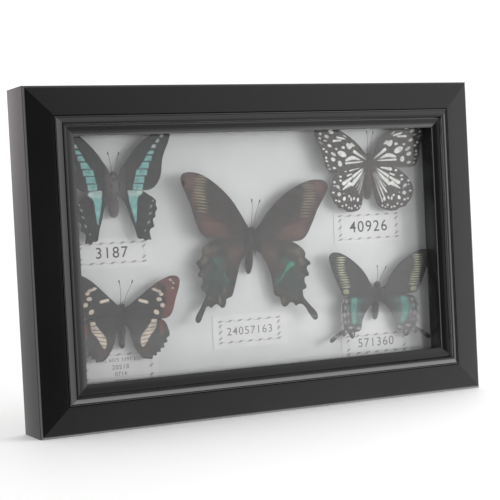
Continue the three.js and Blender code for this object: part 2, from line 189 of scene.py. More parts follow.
class Finish(Graph):
    """A material whose Principled surface is fed by expressions"""

    def __init__(self, name, **constants):
        self.material = bpy.data.materials.new(name)
        self.material.use_nodes = True
        super().__init__(self.material.node_tree)
        self.surface = self.tree.nodes["Principled BSDF"]
        for socket, value in constants.items():
            self.set(socket.replace("_", " "), value)

    def set(self, socket, value):
        if isinstance(value, tuple) and len(value) == 3:
            value = (*value, 1.0)
        self.connect(self.surface.inputs[socket], value)

    def place(self):
        """Object coordinates, in metres"""
        return self.node("ShaderNodeTexCoord", output="Object")

    def attribute(self, name, output="Fac"):
        return self.node("ShaderNodeAttribute", {"attribute_name": name}, output=output)

    def noise(self, scale, detail=3.0, rough=0.55, at=None, stretch=None, output="Fac"):
        at = at or self.place()
        if stretch:
            at = self.node("ShaderNodeMapping", inputs={"Vector": at, "Scale": stretch})
        inputs = {"Vector": at, "Scale": scale, "Detail": detail, "Roughness": rough}
        return self.node("ShaderNodeTexNoise", inputs=inputs, output=output)

    def bump(self, height, distance, strength=1.0, under=None):
        inputs = {"Height": height, "Distance": distance, "Strength": strength}
        if under:
            inputs["Normal"] = under
        return self.node("ShaderNodeBump", inputs=inputs)


# Materials

SCREEN_PITCH = 1.3
SCREEN_TURNS = 2 * math.pi / (SCREEN_PITCH * MM)


def grey(level):
    return (level, level, level)


def lacquer_finish():
    """Satin black lacquer with orange peel and dust. The outer side face is painted lighter in faint
    brush-line streaks along the rail, a painted reflection, and lighter again near its front arris, a painted
    highlight.
    """
    finish = Finish("black_lacquer", IOR=1.5, Coat_IOR=1.5)
    place = finish.place()
    peel = finish.noise(900, detail=2, at=place)
    cloud = finish.noise(22, detail=4, at=place)
    dust = finish.noise(2600, detail=2, at=place).smooth(0.69, 0.76)
    parts = finish.node("ShaderNodeSeparateXYZ", inputs={0: finish.attribute("section", "Vector")})
    depth = parts.other(1)
    on_side = parts.smooth(0.0001, 0.0003, 1, 0)
    streak = finish.noise(230, detail=2, at=finish.attribute("section", "Vector")).smooth(0.35, 0.65)
    # Painted reflection on the outer side face, in streaks along the rail, with a painted highlight strip near
    # its front arris
    streaked_side_sheen = on_side * (streak * 0.5 + depth.smooth(0.002, 0.007, 0.5, 0))
    base = finish.mix(cloud, grey(0.003), grey(0.0065))
    base = finish.mix(streaked_side_sheen * 0.6, base, (0.085, 0.078, 0.080))
    finish.set("Base Color", finish.mix(dust * 0.35, base, grey(0.12)))
    finish.set("Roughness", cloud.smooth(0.3, 0.7, 0.13, 0.19) + dust * 0.2)
    finish.set("Normal", finish.bump(peel, 0.00002, 0.25))
    return finish.material


def strip_finish():
    """Glossy black strip with hairline scuffs"""
    finish = Finish("gloss_black", IOR=1.75)
    scuff = finish.noise(160, detail=5, stretch=(1, 14, 14))
    finish.set("Base Color", finish.mix(scuff, grey(0.003), grey(0.008)))
    finish.set("Roughness", scuff.smooth(0.45, 0.8, 0.06, 0.2))
    return finish.material


def card_finish():
    """Matt white card, with soft mottling and fibres"""
    finish = Finish("white_card", Specular_IOR_Level=0.3)
    mottle = finish.noise(45, detail=5)
    fibre = finish.noise(1500, detail=3, stretch=(1, 1, 0.35))
    tone = finish.mix(mottle.smooth(0.3, 0.7), (0.66, 0.665, 0.67), (0.70, 0.705, 0.71))
    finish.set("Base Color", finish.mix(fibre.smooth(0.62, 0.8) * 0.3, tone, grey(0.6)))
    finish.set("Roughness", fibre.smooth(0.2, 0.8, 0.8, 0.95))
    finish.set("Normal", finish.bump(fibre, 0.00003, 0.4))
    return finish.material


def paper_finish():
    """Thin white label paper"""
    finish = Finish("label_paper", Specular_IOR_Level=0.35)
    mottle = finish.noise(90, detail=4)
    fibre = finish.noise(2200, detail=3, stretch=(0.4, 1, 1))
    tone = finish.mix(mottle.smooth(0.3, 0.7), (0.70, 0.70, 0.695), (0.74, 0.74, 0.735))
    finish.set("Base Color", finish.mix(fibre.smooth(0.6, 0.8) * 0.2, tone, grey(0.6)))
    finish.set("Roughness", fibre.smooth(0.2, 0.8, 0.7, 0.85))
    finish.set("Normal", finish.bump(fibre, 0.00002, 0.3))
    return finish.material


def ink_finish(name, dark, worn):
    """Printed ink, thin in places"""
    finish = Finish(name)
    wear = finish.noise(1300, detail=4)
    finish.set("Base Color", finish.mix(wear.smooth(0.45, 0.8), grey(dark), grey(worn)))
    finish.set("Roughness", wear.smooth(0.2, 0.8, 0.4, 0.6))
    return finish.material


def acrylic_finish():
    """Clear acrylic that lamps shine through, with a faint film of dust"""
    finish = Finish("clear_acrylic", IOR=1.49, Transmission_Weight=0.969, Specular_IOR_Level=0.28)
    smear = finish.noise(14, detail=4)
    finish.set("Base Color", finish.mix(smear, (0.985, 0.99, 0.99), grey(1.0)))
    finish.set("Roughness", smear.smooth(0.3, 0.8, 0.0, 0.012))
    clear = finish.node("ShaderNodeBsdfTransparent", inputs={"Color": (0.93, 0.935, 0.935, 1)})
    shadow_ray = finish.node("ShaderNodeLightPath", output="Is Shadow Ray")
    glass = Wire(finish, finish.surface.outputs[0])
    joined = finish.node("ShaderNodeMixShader", inputs={0: shadow_ray, 1: glass, 2: clear})
    finish.connect(finish.tree.nodes["Material Output"].inputs["Surface"], joined)
    return finish.material


def hardboard_finish():
    """Brown pressed fibre board, with the pattern of the press screen"""
    finish = Finish("hardboard", Specular_IOR_Level=0.3)
    place = finish.place()
    parts = finish.node("ShaderNodeSeparateXYZ", inputs={0: place})
    height = parts.other(2)
    wander = finish.noise(60, detail=2, at=place) * 6
    screen = (parts * SCREEN_TURNS + wander).math("SINE") * (height * SCREEN_TURNS + wander).math("SINE")
    fibre = finish.noise(700, detail=6, rough=0.7, at=place)
    stain = finish.noise(16, detail=5, at=place)
    fleck = finish.noise(2400, detail=2, at=place, stretch=(1, 1, 0.3)).smooth(0.6, 0.75)
    tone = finish.mix(fibre.smooth(0.3, 0.7), (0.115, 0.056, 0.024), (0.25, 0.135, 0.062))
    tone = finish.mix(stain.smooth(0.4, 0.7) * 0.35, tone, (0.10, 0.05, 0.024))
    tone = finish.mix(screen.smooth(-0.8, 0.8, 0.3, 0), tone, (0.07, 0.035, 0.016))
    finish.set("Base Color", finish.mix(fleck * 0.5, tone, (0.42, 0.29, 0.17)))
    finish.set("Roughness", fibre.smooth(0.3, 0.7, 0.7, 0.9))
    relief = screen * 0.5 + fibre
    finish.set("Normal", finish.bump(relief, 0.0002, 0.8))
    return finish.material


def steel_finish():
    """Zinc-plated sheet steel with a brushed grain, spangles and dull patches"""
    finish = Finish("steel", Metallic=1.0)
    place = finish.place()
    brushed = finish.noise(900, detail=4, at=place, stretch=(1, 1, 12))
    bloom = finish.noise(260, detail=4, at=place)
    spangle = finish.node("ShaderNodeTexVoronoi", inputs={"Vector": place, "Scale": 420.0}, output="Color")
    facet = finish.node("ShaderNodeSeparateColor", inputs={0: spangle})
    tone = finish.mix(bloom.smooth(0.3, 0.7), (0.24, 0.25, 0.265), (0.46, 0.46, 0.455))
    finish.set("Base Color", finish.mix(facet * 0.35, tone, (0.16, 0.165, 0.175)))
    finish.set("Roughness", brushed.smooth(0.3, 0.7, 0.3, 0.46) + facet * 0.12)
    finish.set("Normal", finish.bump(brushed, 0.00003, 0.4))
    return finish.material


def wing_finish(name, ground, ground_light, first, second, third, vein, gloss=0.55):
    """Scaled wing: marking masks, veins and scale rows ride on the wing's own attributes"""
    finish = Finish(name, Specular_IOR_Level=0.25, Sheen_Weight=0.08, Sheen_Roughness=0.4)
    at = finish.attribute("wing_place", "Vector")
    masks = finish.node("ShaderNodeSeparateColor", inputs={0: finish.attribute("markings", "Color")})
    red = masks
    green = masks.other(1)
    blue = masks.other(2)
    veins = finish.attribute("veins")
    cloud = finish.noise(0.16, detail=5, at=at)
    scales = finish.noise(5, detail=2, at=at, stretch=(1, 2.2, 1))
    tone = finish.mix(cloud.smooth(0.35, 0.65), ground, ground_light)
    for mask, colour in ((red, first), (green, second), (blue, third)):
        paler = tuple(min(1.0, value * 1.25 + 0.01) for value in colour)
        shade = tuple(value * 0.72 for value in colour)
        tone = finish.mix(mask, tone, finish.mix(cloud.smooth(0.3, 0.7), shade, paler))
    covered = red.math("MAXIMUM", green).math("MAXIMUM", blue)
    tone = finish.mix(veins * (0.75 - covered * 0.62), tone, vein)
    tone = finish.mix(scales.smooth(0.35, 0.75) * 0.35, tone, finish.mix(0.5, tone, ground))
    finish.set("Base Color", tone)
    finish.set("Roughness", scales.smooth(0.3, 0.7, gloss - 0.1, gloss + 0.15))
    finish.set("Normal", finish.bump(scales, 0.00004, 0.5))
    return finish.material


def body_finish(name, dark, light, band):
    """Chitin with short pile; bands follow the piece's own band attribute"""
    finish = Finish(name, Specular_IOR_Level=0.3)
    pile = finish.noise(1800, detail=4, stretch=(1, 1, 0.4))
    patch = finish.noise(240, detail=3)
    tone = finish.mix(patch.smooth(0.3, 0.7), dark, light)
    finish.set("Base Color", finish.mix(finish.attribute("bands"), tone, band))
    finish.set("Roughness", pile.smooth(0.3, 0.7, 0.5, 0.8))
    finish.set("Normal", finish.bump(pile, 0.00012, 0.6))
    return finish.material


def hair_finish(name, root, tip):
    """Fine hair, paler to the tip"""
    finish = Finish(name, Specular_IOR_Level=0.3)
    along = finish.attribute("along")
    strand = finish.noise(900, detail=1)
    finish.set("Base Color", finish.mix(along * 0.7 + strand * 0.3, root, tip))
    finish.set("Roughness", strand.smooth(0.3, 0.7, 0.45, 0.65))
    return finish.material


def horn_finish():
    """Dark horny skin of eyes, feelers and legs"""
    finish = Finish("dark_horn")
    grain = finish.noise(1500, detail=3)
    finish.set("Base Color", finish.mix(grain.smooth(0.3, 0.7), (0.006, 0.005, 0.005), (0.025, 0.02, 0.017)))
    finish.set("Roughness", grain.smooth(0.3, 0.7, 0.28, 0.5))
    return finish.material


LACQUER = lacquer_finish()
GLOSS_BLACK = strip_finish()
CARD = card_finish()
PAPER = paper_finish()
INK = ink_finish("print_ink", 0.02, 0.11)
FAINT_INK = ink_finish("faint_ink", 0.18, 0.34)
BORDER_INK = ink_finish("border_ink", 0.32, 0.47)
ACRYLIC = acrylic_finish()
HARDBOARD = hardboard_finish()
STEEL = steel_finish()
HORN = horn_finish()


# Making and keeping pieces

def link_object(name, mesh):
    piece = bpy.data.objects.new(name, mesh)
    bpy.context.scene.collection.objects.link(piece)
    return piece


def mesh_object(name, points, faces, material, smooth=True, attributes=None):
    """A mesh from points in millimetres. Attributes map a name to (kind, one value for each point)."""
    mesh = bpy.data.meshes.new(name)
    mesh.from_pydata((np.asarray(points, float) * MM).tolist(), [], faces)
    for key, (kind, values) in (attributes or {}).items():
        layer = mesh.attributes.new(key, kind, "POINT")
        member = {"FLOAT": "value", "FLOAT_COLOR": "color", "FLOAT_VECTOR": "vector"}[kind]
        layer.data.foreach_set(member, np.asarray(values, np.float32).ravel())
    mesh.materials.append(material)
    mesh.shade_smooth() if smooth else mesh.shade_flat()
    return link_object(name, mesh)


def keep(piece, slot, *nodes):
    """The piece rides on the one rigid body, in place of CAD nodes; slot is not used."""
    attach(piece, "root")
    if nodes:
        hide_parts(*nodes)
    return piece


def evaluated_mesh(piece):
    """The plain mesh that an object's modifier or curve makes. The object itself is removed."""
    shape = piece.evaluated_get(bpy.context.evaluated_depsgraph_get())
    mesh = bpy.data.meshes.new_from_object(shape)
    bpy.data.objects.remove(piece)
    return mesh


def baked_copy(piece):
    """Turns a piece with a live modifier into a plain mesh, and drops the modifier"""
    name = piece.name
    old = piece.data
    mesh = evaluated_mesh(piece)
    bpy.data.meshes.remove(old)
    mesh.name = name
    return link_object(name, mesh)


def soften(piece, angle):
    """Smooth shading with edges sharper than the angle kept crisp"""
    piece.data.shade_smooth()
    piece.data.set_sharp_from_angle(angle=math.radians(angle))


def grow(piece, build, values):
    """Runs a geometry tree on a piece. values maps the tree's named inputs to what they are set to."""
    tree = bpy.data.node_groups.new(piece.name + "_rule", "GeometryNodeTree")
    tree.interface.new_socket("Geometry", in_out="INPUT", socket_type="NodeSocketGeometry")
    tree.interface.new_socket("Geometry", in_out="OUTPUT", socket_type="NodeSocketGeometry")
    kinds = {int: "NodeSocketInt", float: "NodeSocketFloat", bpy.types.Material: "NodeSocketMaterial"}
    sockets = {}
    for name, value in values.items():
        kind = kinds.get(type(value), "NodeSocketMaterial")
        sockets[name] = tree.interface.new_socket(name, in_out="INPUT", socket_type=kind)
    graph = Graph(tree)
    source = tree.nodes.new("NodeGroupInput")
    given = {name: Wire(graph, source.outputs[name]) for name in ("Geometry", *values)}
    result = build(graph, given)
    result = graph.node("GeometryNodeRealizeInstances", inputs={"Geometry": result})
    result = graph.node("GeometryNodeSetMaterial", inputs={"Geometry": result, "Material": given["Material"]})
    end = tree.nodes.new("NodeGroupOutput")
    graph.connect(end.inputs["Geometry"], result)
    modifier = piece.modifiers.new("rule", "NODES")
    modifier.node_group = tree
    for name, value in values.items():
        modifier[sockets[name].identifier] = value
    return baked_copy(piece)


# Curves in the plane, in millimetres

def quadratic(start, control, end, steps):
    start, control, end = (np.array(p, float) for p in (start, control, end))
    shares = np.linspace(0, 1, steps + 1)[1:, None]
    return list((1 - shares) ** 2 * start + 2 * shares * (1 - shares) * control + shares ** 2 * end)


def smooth_path(points, closed, step):
    """A centripetal curve through the points, resampled at an even step"""
    points = np.array(points, float)
    count = len(points)
    spans = count if closed else count - 1
    dense = []
    for i in range(spans):
        if closed:
            p0, p1, p2, p3 = (points[(i + k) % count] for k in (-1, 0, 1, 2))
        else:
            p1, p2 = points[i], points[i + 1]
            p0 = points[i - 1] if i else 2 * p1 - p2
            p3 = points[i + 2] if i + 2 < count else 2 * p2 - p1
        t1 = np.linalg.norm(p1 - p0) ** 0.5
        t2 = t1 + np.linalg.norm(p2 - p1) ** 0.5
        t3 = t2 + np.linalg.norm(p3 - p2) ** 0.5
        for t in np.linspace(t1, t2, 9)[:-1]:
            a1 = (t1 - t) / t1 * p0 + t / t1 * p1
            a2 = (t2 - t) / (t2 - t1) * p1 + (t - t1) / (t2 - t1) * p2
            a3 = (t3 - t) / (t3 - t2) * p2 + (t - t2) / (t3 - t2) * p3
            b1 = (t2 - t) / t2 * a1 + t / t2 * a2
            b2 = (t3 - t) / (t3 - t1) * a2 + (t - t1) / (t3 - t1) * a3
            dense.append((t2 - t) / (t2 - t1) * b1 + (t - t1) / (t2 - t1) * b2)
    dense.append(points[0] if closed else points[-1])
    dense = np.array(dense)
    lengths = np.concatenate([[0], np.cumsum(np.linalg.norm(np.diff(dense, axis=0), axis=1))])
    wanted = max(2, round(lengths[-1] / step))
    places = np.linspace(0, lengths[-1], wanted + 1)
    path = np.stack([np.interp(places, lengths, dense[:, axis]) for axis in range(dense.shape[1])], axis=1)
    return path[:-1] if closed else path


def segment_distance(x, y, a, b):
    """Distance from each place to the segment, and how far along it the nearest point is"""
    dx, dy = b[0] - a[0], b[1] - a[1]
    along = np.clip(((x - a[0]) * dx + (y - a[1]) * dy) / max(dx * dx + dy * dy, 1e-9), 0, 1)
    return np.hypot(x - a[0] - along * dx, y - a[1] - along * dy), along


def path_distance(x, y, path, closed=False):
    ends = np.roll(path, -1, axis=0) if closed else path[1:]
    nearest = np.full(x.shape, 1e9)
    for a, b in zip(path, ends):
        nearest = np.minimum(nearest, segment_distance(x, y, a, b)[0])
    return nearest


def inside(x, y, path):
    crossing = np.zeros(x.shape, bool)
    for a, b in zip(path, np.roll(path, -1, axis=0)):
        if a[1] != b[1]:
            beyond = x < (b[0] - a[0]) * (y - a[1]) / (b[1] - a[1]) + a[0]
            crossing ^= ((a[1] > y) != (b[1] > y)) & beyond
    return crossing


def eased(values, low, high):
    share = np.clip((values - low) / (high - low), 0, 1)
    return share * share * (3 - 2 * share)


def filled(border, step):
    """An even net of triangles inside a closed border: its places, triangles and border edges"""
    low, high = border.min(axis=0), border.max(axis=0)
    rows = np.arange(low[1], high[1], step * 0.866)
    x, y = np.meshgrid(np.arange(low[0], high[0], step), rows)
    x[1::2] += step / 2
    x, y = x.ravel(), y.ravel()
    rim = path_distance(x, y, border, closed=True)
    within = inside(x, y, border) & (rim > step * 0.55)
    count = len(border)
    flat = np.concatenate([border, np.stack([x[within], y[within]], axis=1)])
    edges = [(i, (i + 1) % count) for i in range(count)]
    points, _, triangles, _, _, _ = delaunay_2d_cdt([Vector(p) for p in flat], edges, [], 1, 1e-6, False)
    x, y = np.array(points).T
    triangles = np.array(triangles)
    triangles = triangles[inside(x[triangles].mean(axis=1), y[triangles].mean(axis=1), border)].tolist()
    return x, y, triangles, edges


# Marks on a wing: each gives a cover from 0 to 1 at every place

EDGE = 0.22
PATCH_STEP = 0.7


def field(border, low, high):
    """A filled shape; its cover rises between two distances, both measured inward from its border"""
    def cover(x, y):
        distance = path_distance(x, y, border, closed=True) * np.where(inside(x, y, border), 1, -1)
        return eased(distance, low, high)
    return cover


def patch(*points, edge=EDGE):
    """A filled shape with a smooth outline through the points"""
    return field(smooth_path(points, True, PATCH_STEP), -edge, edge)


def oval_reach(x, y, cx, cy, rx, ry, turn):
    """How far out each place lies on a turned oval, with 1 on its edge"""
    angle = math.radians(turn)
    u = (x - cx) * math.cos(angle) + (y - cy) * math.sin(angle)
    v = (y - cy) * math.cos(angle) - (x - cx) * math.sin(angle)
    return np.hypot(u / rx, v / ry)


def spot(cx, cy, rx, ry, turn=0, edge=EDGE):
    """An oval"""
    return lambda x, y: eased((1 - oval_reach(x, y, cx, cy, rx, ry, turn)) * min(rx, ry), -edge, edge)


def streak(start, end, width, end_width=None, edge=EDGE):
    """A straight stroke that may taper"""
    end_width = width if end_width is None else end_width

    def cover(x, y):
        distance, along = segment_distance(x, y, start, end)
        return eased((width + (end_width - width) * along) / 2 - distance, -edge, edge)
    return cover


def glow(cx, cy, rx, ry, turn=0, strength=1.0):
    """A tint that fades from its middle"""
    return lambda x, y: strength * np.exp(-2 * oval_reach(x, y, cx, cy, rx, ry, turn) ** 2)


def faded(mark, strength):
    return lambda x, y: strength * mark(x, y)


def painted(marks, x, y):
    total = np.zeros(x.shape)
    for mark in marks:
        total = np.maximum(total, mark(x, y))
    return total


# Rails: one moulding section, swept along each side and cut to the mitres

SIGHT_INSET = 31
LIP_THICKNESS = 3.7
REBATE_INSET = 22.2
LINER_WALL = 28.7
LINER_BACK = 11.1
MITRE_GAP = 0.035
RAIL_STEPS = 60
ROUND = 0.25


def rail_section():
    """Inset from the outer side and depth behind the arris, all round the moulding"""
    path = [(0, SIDE_DEPTH - ROUND), (0, 2)]
    path += quadratic((0, 2), (0, 1.1), (0.35, 0.75), 5)
    path += quadratic((1.15, 0), (1.4, -0.15), (2, -0.22), 5)
    path += quadratic((9, -1), (17.9, -1.97), (18.2, -1.9), 6)
    path += quadratic((18.3, -1.5), (18.4, -1.2), (18.6, -1.2), 4)
    path += quadratic((18.75, -1.2), (18.7, -2.2), (19.1, -2.2), 6)
    path += quadratic((19.3, -2.2), (19.35, -1.85), (19.6, -1.9), 5)
    path += quadratic((22.2, -3.95), (22.7, -4.3), (23.3, -4.3), 7)
    path += quadratic((23.9, -4.3), (24.3, -3.9), (24.6, -3.1), 7)
    path += quadratic((24.9, -2.3), (25.2, -2), (25.9, -2), 7)
    path += quadratic((27.2, -1.85), (29.2, -1.4), (30.3, -0.75), 9)
    path += quadratic((30.5, -0.6), (30.6, -0.3), (SIGHT_INSET - ROUND, -0.3), 4)
    path += quadratic((SIGHT_INSET, -0.3), (SIGHT_INSET, -0.2), (SIGHT_INSET, 0.2), 2)
    path += [(SIGHT_INSET, LIP_THICKNESS), (LINER_WALL, LIP_THICKNESS), (LINER_WALL, LINER_BACK)]
    path += [(REBATE_INSET, LINER_BACK), (REBATE_INSET, SIDE_DEPTH - ROUND)]
    rebate_corner = (REBATE_INSET, SIDE_DEPTH)
    path += quadratic(
        (REBATE_INSET, SIDE_DEPTH - ROUND), rebate_corner, (REBATE_INSET - ROUND, SIDE_DEPTH), 3)
    path += quadratic((ROUND, SIDE_DEPTH), (0, SIDE_DEPTH), (0, SIDE_DEPTH - ROUND), 3)[:-1]
    return np.array(path)


def sweep_rail(graph, given):
    """The closed section runs along a line from -1 to 1; each point then goes to its own mitred length"""
    section = graph.node("GeometryNodeMeshToCurve", inputs={"Mesh": given["Geometry"]})
    place = graph.node("GeometryNodeInputPosition")
    kept = {"domain": "POINT", "data_type": "FLOAT_VECTOR"}
    section = graph.node(
        "GeometryNodeStoreNamedAttribute", kept, {"Geometry": section, "Name": "section", "Value": place})
    line = graph.node("GeometryNodeCurvePrimitiveLine", inputs={"Start": (-1, 0, 0), "End": (1, 0, 0)})
    line = graph.node("GeometryNodeResampleCurve", inputs={"Curve": line, "Count": given["Steps"]})
    line = graph.node(
        "GeometryNodeStoreNamedAttribute", kept, {"Geometry": line, "Name": "run", "Value": place})
    swept = graph.node(
        "GeometryNodeCurveToMesh", inputs={"Curve": line, "Profile Curve": section, "Fill Caps": True})
    read = {"data_type": "FLOAT_VECTOR"}
    section_at = graph.node("GeometryNodeInputNamedAttribute", read, {"Name": "section"})
    run_at = graph.node("GeometryNodeInputNamedAttribute", read, {"Name": "run"})
    section_parts = graph.node("ShaderNodeSeparateXYZ", inputs={0: section_at})
    inset = section_parts
    depth = section_parts.other(1)
    run = graph.node("ShaderNodeSeparateXYZ", inputs={0: run_at})
    reach = given["Half length"] - inset - given["Mitre gap"]
    target = graph.node("ShaderNodeCombineXYZ", inputs={
        0: run * reach, 1: depth + given["Front"], 2: inset - given["Half span"]})
    placed = graph.node("GeometryNodeSetPosition", inputs={"Geometry": swept, "Position": target})
    turn = graph.node("ShaderNodeCombineXYZ", inputs={1: given["Turn"]})
    lift = graph.node("ShaderNodeCombineXYZ", inputs={2: given["Lift"]})
    return graph.node(
        "GeometryNodeTransform", inputs={"Geometry": placed, "Rotation": turn, "Translation": lift})


def outward(piece):
    """Every face pointing out of the closed shape"""
    work = bmesh.new()
    work.from_mesh(piece.data)
    bmesh.ops.remove_doubles(work, verts=work.verts, dist=1e-7)
    bmesh.ops.recalc_face_normals(work, faces=work.faces)
    work.to_mesh(piece.data)
    work.free()
    return piece


def rail(name, length, span, turn):
    section = rail_section()
    count = len(section)
    mesh = bpy.data.meshes.new(name)
    points = [(x * MM, y * MM, 0) for x, y in section]
    mesh.from_pydata(points, [(i, (i + 1) % count) for i in range(count)], [])
    piece = grow(link_object(name, mesh), sweep_rail, {
        "Half length": length / 2 * MM, "Half span": span / 2 * MM, "Front": ARRIS_Y * MM,
        "Mitre gap": MITRE_GAP * MM, "Steps": RAIL_STEPS, "Turn": math.radians(turn),
        "Lift": FRAME_HEIGHT / 2 * MM, "Material": LACQUER})
    outward(piece)
    soften(piece, 32)
    return keep(piece, "black_lacquer", name)


rail("rail_bottom", FRAME_WIDTH, FRAME_HEIGHT, 0)
rail("rail_left", FRAME_HEIGHT, FRAME_WIDTH, 90)
rail("rail_top", FRAME_WIDTH, FRAME_HEIGHT, 180)
rail("rail_right", FRAME_HEIGHT, FRAME_WIDTH, -90)


# Closed round shapes

def ringed_faces(rings, sides):
    """Faces over rings of points, closed by a point beyond the first ring and one beyond the last"""
    faces = []
    for i in range(rings - 1):
        for k in range(sides):
            a, b = i * sides + k, i * sides + (k + 1) % sides
            faces.append((a, a + sides, b + sides, b))
    first, last = rings * sides, rings * sides + 1
    start = (rings - 1) * sides
    for k in range(sides):
        after = (k + 1) % sides
        faces += [(first, k, after), (last, start + after, start + k)]
    return faces


def lathe(stations, depth_scale, steps, sides, relief):
    """A closed body of revolution along y; relief(y) swells or pinches it"""
    stations = np.array(stations, float)
    path = smooth_path(stations, False, (stations[-1, 0] - stations[0, 0]) / steps)
    path[:, 1] = np.maximum(path[:, 1], 0)
    points = []
    for y, radius in path[1:-1]:
        for k in range(sides):
            angle = 2 * math.pi * k / sides
            swell = radius * (1 + relief(y, angle))
            points.append((swell * math.cos(angle), y, swell * depth_scale * math.sin(angle)))
    points += [(0, path[0, 0], 0), (0, path[-1, 0], 0)]
    return np.array(points), ringed_faces(len(path) - 2, sides)


def tube(path, radii, sides):
    """A closed round tube through points, with a radius at each"""
    path = np.array(path, float)
    points = []
    ahead = np.gradient(path, axis=0)
    side = np.cross(ahead[0], (0.3, 0.2, 0.9))
    for place, along, radius in zip(path, ahead, radii):
        along = along / np.linalg.norm(along)
        side = side - along * np.dot(side, along)
        side = side / np.linalg.norm(side)
        other = np.cross(along, side)
        for k in range(sides):
            angle = 2 * math.pi * k / sides
            points.append(place + radius * (math.cos(angle) * side + math.sin(angle) * other))
    points += [path[0], path[-1]]
    return np.array(points), [face[::-1] for face in ringed_faces(len(path), sides)]


def joined(parts):
    points, faces, start = [], [], 0
    for part_points, part_faces in parts:
        points.append(part_points)
        faces += [tuple(index + start for index in face) for face in part_faces]
        start += len(part_points)
    return np.concatenate(points), faces


def ball(centre, radii, rings, sides):
    stations = [(-math.cos(math.pi * i / rings), math.sin(math.pi * i / rings)) for i in range(rings + 1)]
    points = []
    for y, radius in stations[1:-1]:
        for k in range(sides):
            angle = 2 * math.pi * k / sides
            points.append((radius * math.cos(angle), y, radius * math.sin(angle)))
    points += [(0, -1, 0), (0, 1, 0)]
    return np.array(points) * radii + np.array(centre), ringed_faces(rings - 1, sides)


# Flat pieces that keep their built shape and get their finish here

def dress(name, material):
    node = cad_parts[name]
    node.data.materials.clear()
    node.data.materials.append(material)
    node.data.shade_flat()


for side in ("top", "bottom", "left", "right"):
    dress("liner_" + side, GLOSS_BLACK)
    dress("spacer_" + side, GLOSS_BLACK)
dress("mount_card", CARD)
dress("back_board", HARDBOARD)
dress("pane", ACRYLIC)


# Steel pieces of the back: bent points that hold the board, and a saw-tooth hanger on two nails

STEEL_STEP = 0.45
POINT_RIB = 0.3
POINT_LIFT = 0.9
HANGER_TEETH = 9
TOOTH_DEPTH = 1.6
NAIL_SPAN = 38
NAIL_RADIUS = 1.6
PLATE_SHARE = 0.5
PLATE_LIFT = 0.35
NAIL_SHARE = 0.46
POINT_TURNS = {"top": 180, "bottom": 0, "left": 90, "right": -90}


def pressed(border, step, thickness, lift):
    """A sheet of even thickness inside a border, with its face raised by lift(x, y)"""
    x, y, triangles, edges = filled(border, step)
    base = lift(x, y)
    total = len(x)
    points = np.concatenate([np.stack([x, y, base + thickness], axis=1), np.stack([x, y, base], axis=1)])
    faces = [tuple(face) for face in triangles]
    faces += [tuple(index + total for index in face[::-1]) for face in faces]
    faces += [(a, a + total, b + total, b) for a, b in edges]
    return points, faces


def steel_piece(name, shape, origin, turn, node):
    """Lays a pressed shape on the back, its face to the rear. turn is clockwise as seen from the front."""
    piece = mesh_object(name, *shape, STEEL)
    face_back = Matrix.Rotation(math.pi, 4, "Z") @ Matrix.Rotation(math.pi / 2, 4, "X")
    spin = Matrix.Rotation(math.radians(turn), 4, "Y")
    piece.data.transform(Matrix.Translation(Vector(origin) * MM) @ spin @ face_back)
    outward(piece)
    soften(piece, 40)
    keep(piece, "steel", node)


def point_shape(length, width, thickness):
    """A tapered strip along y, its root at 0, with a pressed rib and a lifted free end"""
    half = width / 2
    flank = [(0.92, 0.3), (1, 0.6), (0.86, 0.84), (0.42, 0.98)]
    outline = [(-half * 0.72, 0.15), (half * 0.72, 0.15)]
    outline += [(half * x, length * y) for x, y in flank]
    outline += [(-half * x, length * y) for x, y in reversed(flank)]

    def lift(x, y):
        rib = POINT_RIB * np.exp(-(x / 0.75) ** 2) * eased(y, 1.2, 2.6) * eased(y, length - 1.2, length - 3)
        return rib + POINT_LIFT * eased(y, length * 0.5, length * 1.02)
    return pressed(smooth_path(outline, True, STEEL_STEP), STEEL_STEP, thickness, lift)


def hanger_shape(width, height, thickness, rise):
    """A plate with teeth along its lower edge; its middle stands off the frame and its ends lie flat"""
    half = width / 2
    toothed = half - height
    pitch = 2 * toothed / HANGER_TEETH
    corner = 1.2
    outline = quadratic((-half, corner), (-half, 0), (-half + corner, 0), 5)
    for i in range(HANGER_TEETH):
        start = -toothed + i * pitch
        outline += [np.array((start, 0)), np.array((start + pitch / 2, TOOTH_DEPTH))]
    outline += [np.array((toothed, 0))]
    outline += quadratic((half - corner, 0), (half, 0), (half, corner), 5)
    outline += quadratic((half, height - corner), (half, height), (half - corner, height), 5)
    outline += quadratic((-half + corner, height), (-half, height), (-half, height - corner), 5)

    def lift(x, y):
        return rise * eased(np.abs(x), half - 7.2, half - 9.4)
    return pressed(np.array(outline), STEEL_STEP, thickness, lift)


def back_point(side, number):
    """One bent point, with its root at the edge of the back board"""
    node = f"point_{side}_{number}"
    low, high = node_box(node)
    width, length = sorted((high[0] - low[0], high[2] - low[2]))
    x, z = (low[0] + high[0]) / 2, (low[2] + high[2]) / 2
    roots = {"top": (x, high[2]), "bottom": (x, low[2]), "left": (low[0], z), "right": (high[0], z)}
    root_x, root_z = roots[side]
    shape = point_shape(length, width, high[1] - low[1])
    steel_piece(node + "_strip", shape, (root_x, low[1], root_z), POINT_TURNS[side], node)


def hanger():
    """The toothed plate, and the two nail heads that hold it"""
    low, high = node_box("hanger")
    width, rise, height = (b - a for a, b in zip(low, high))
    foot = ((low[0] + high[0]) / 2, low[1], low[2])
    plate = hanger_shape(width, height, rise * PLATE_SHARE, rise * PLATE_LIFT)
    steel_piece("hanger_plate", plate, foot, 0, "hanger")
    head = (NAIL_RADIUS, NAIL_RADIUS, rise * NAIL_SHARE)
    places = [(x, height / 2, rise * PLATE_SHARE) for x in (-NAIL_SPAN / 2, NAIL_SPAN / 2)]
    steel_piece("hanger_nails", joined([ball(place, head, 18, 28) for place in places]), foot, 0, "hanger")


for side in POINT_TURNS:
    for number in (1, 2):
        back_point(side, number)
hanger()


# Butterflies. Each is drawn as seen from the front, x outward from the body and y to the head.

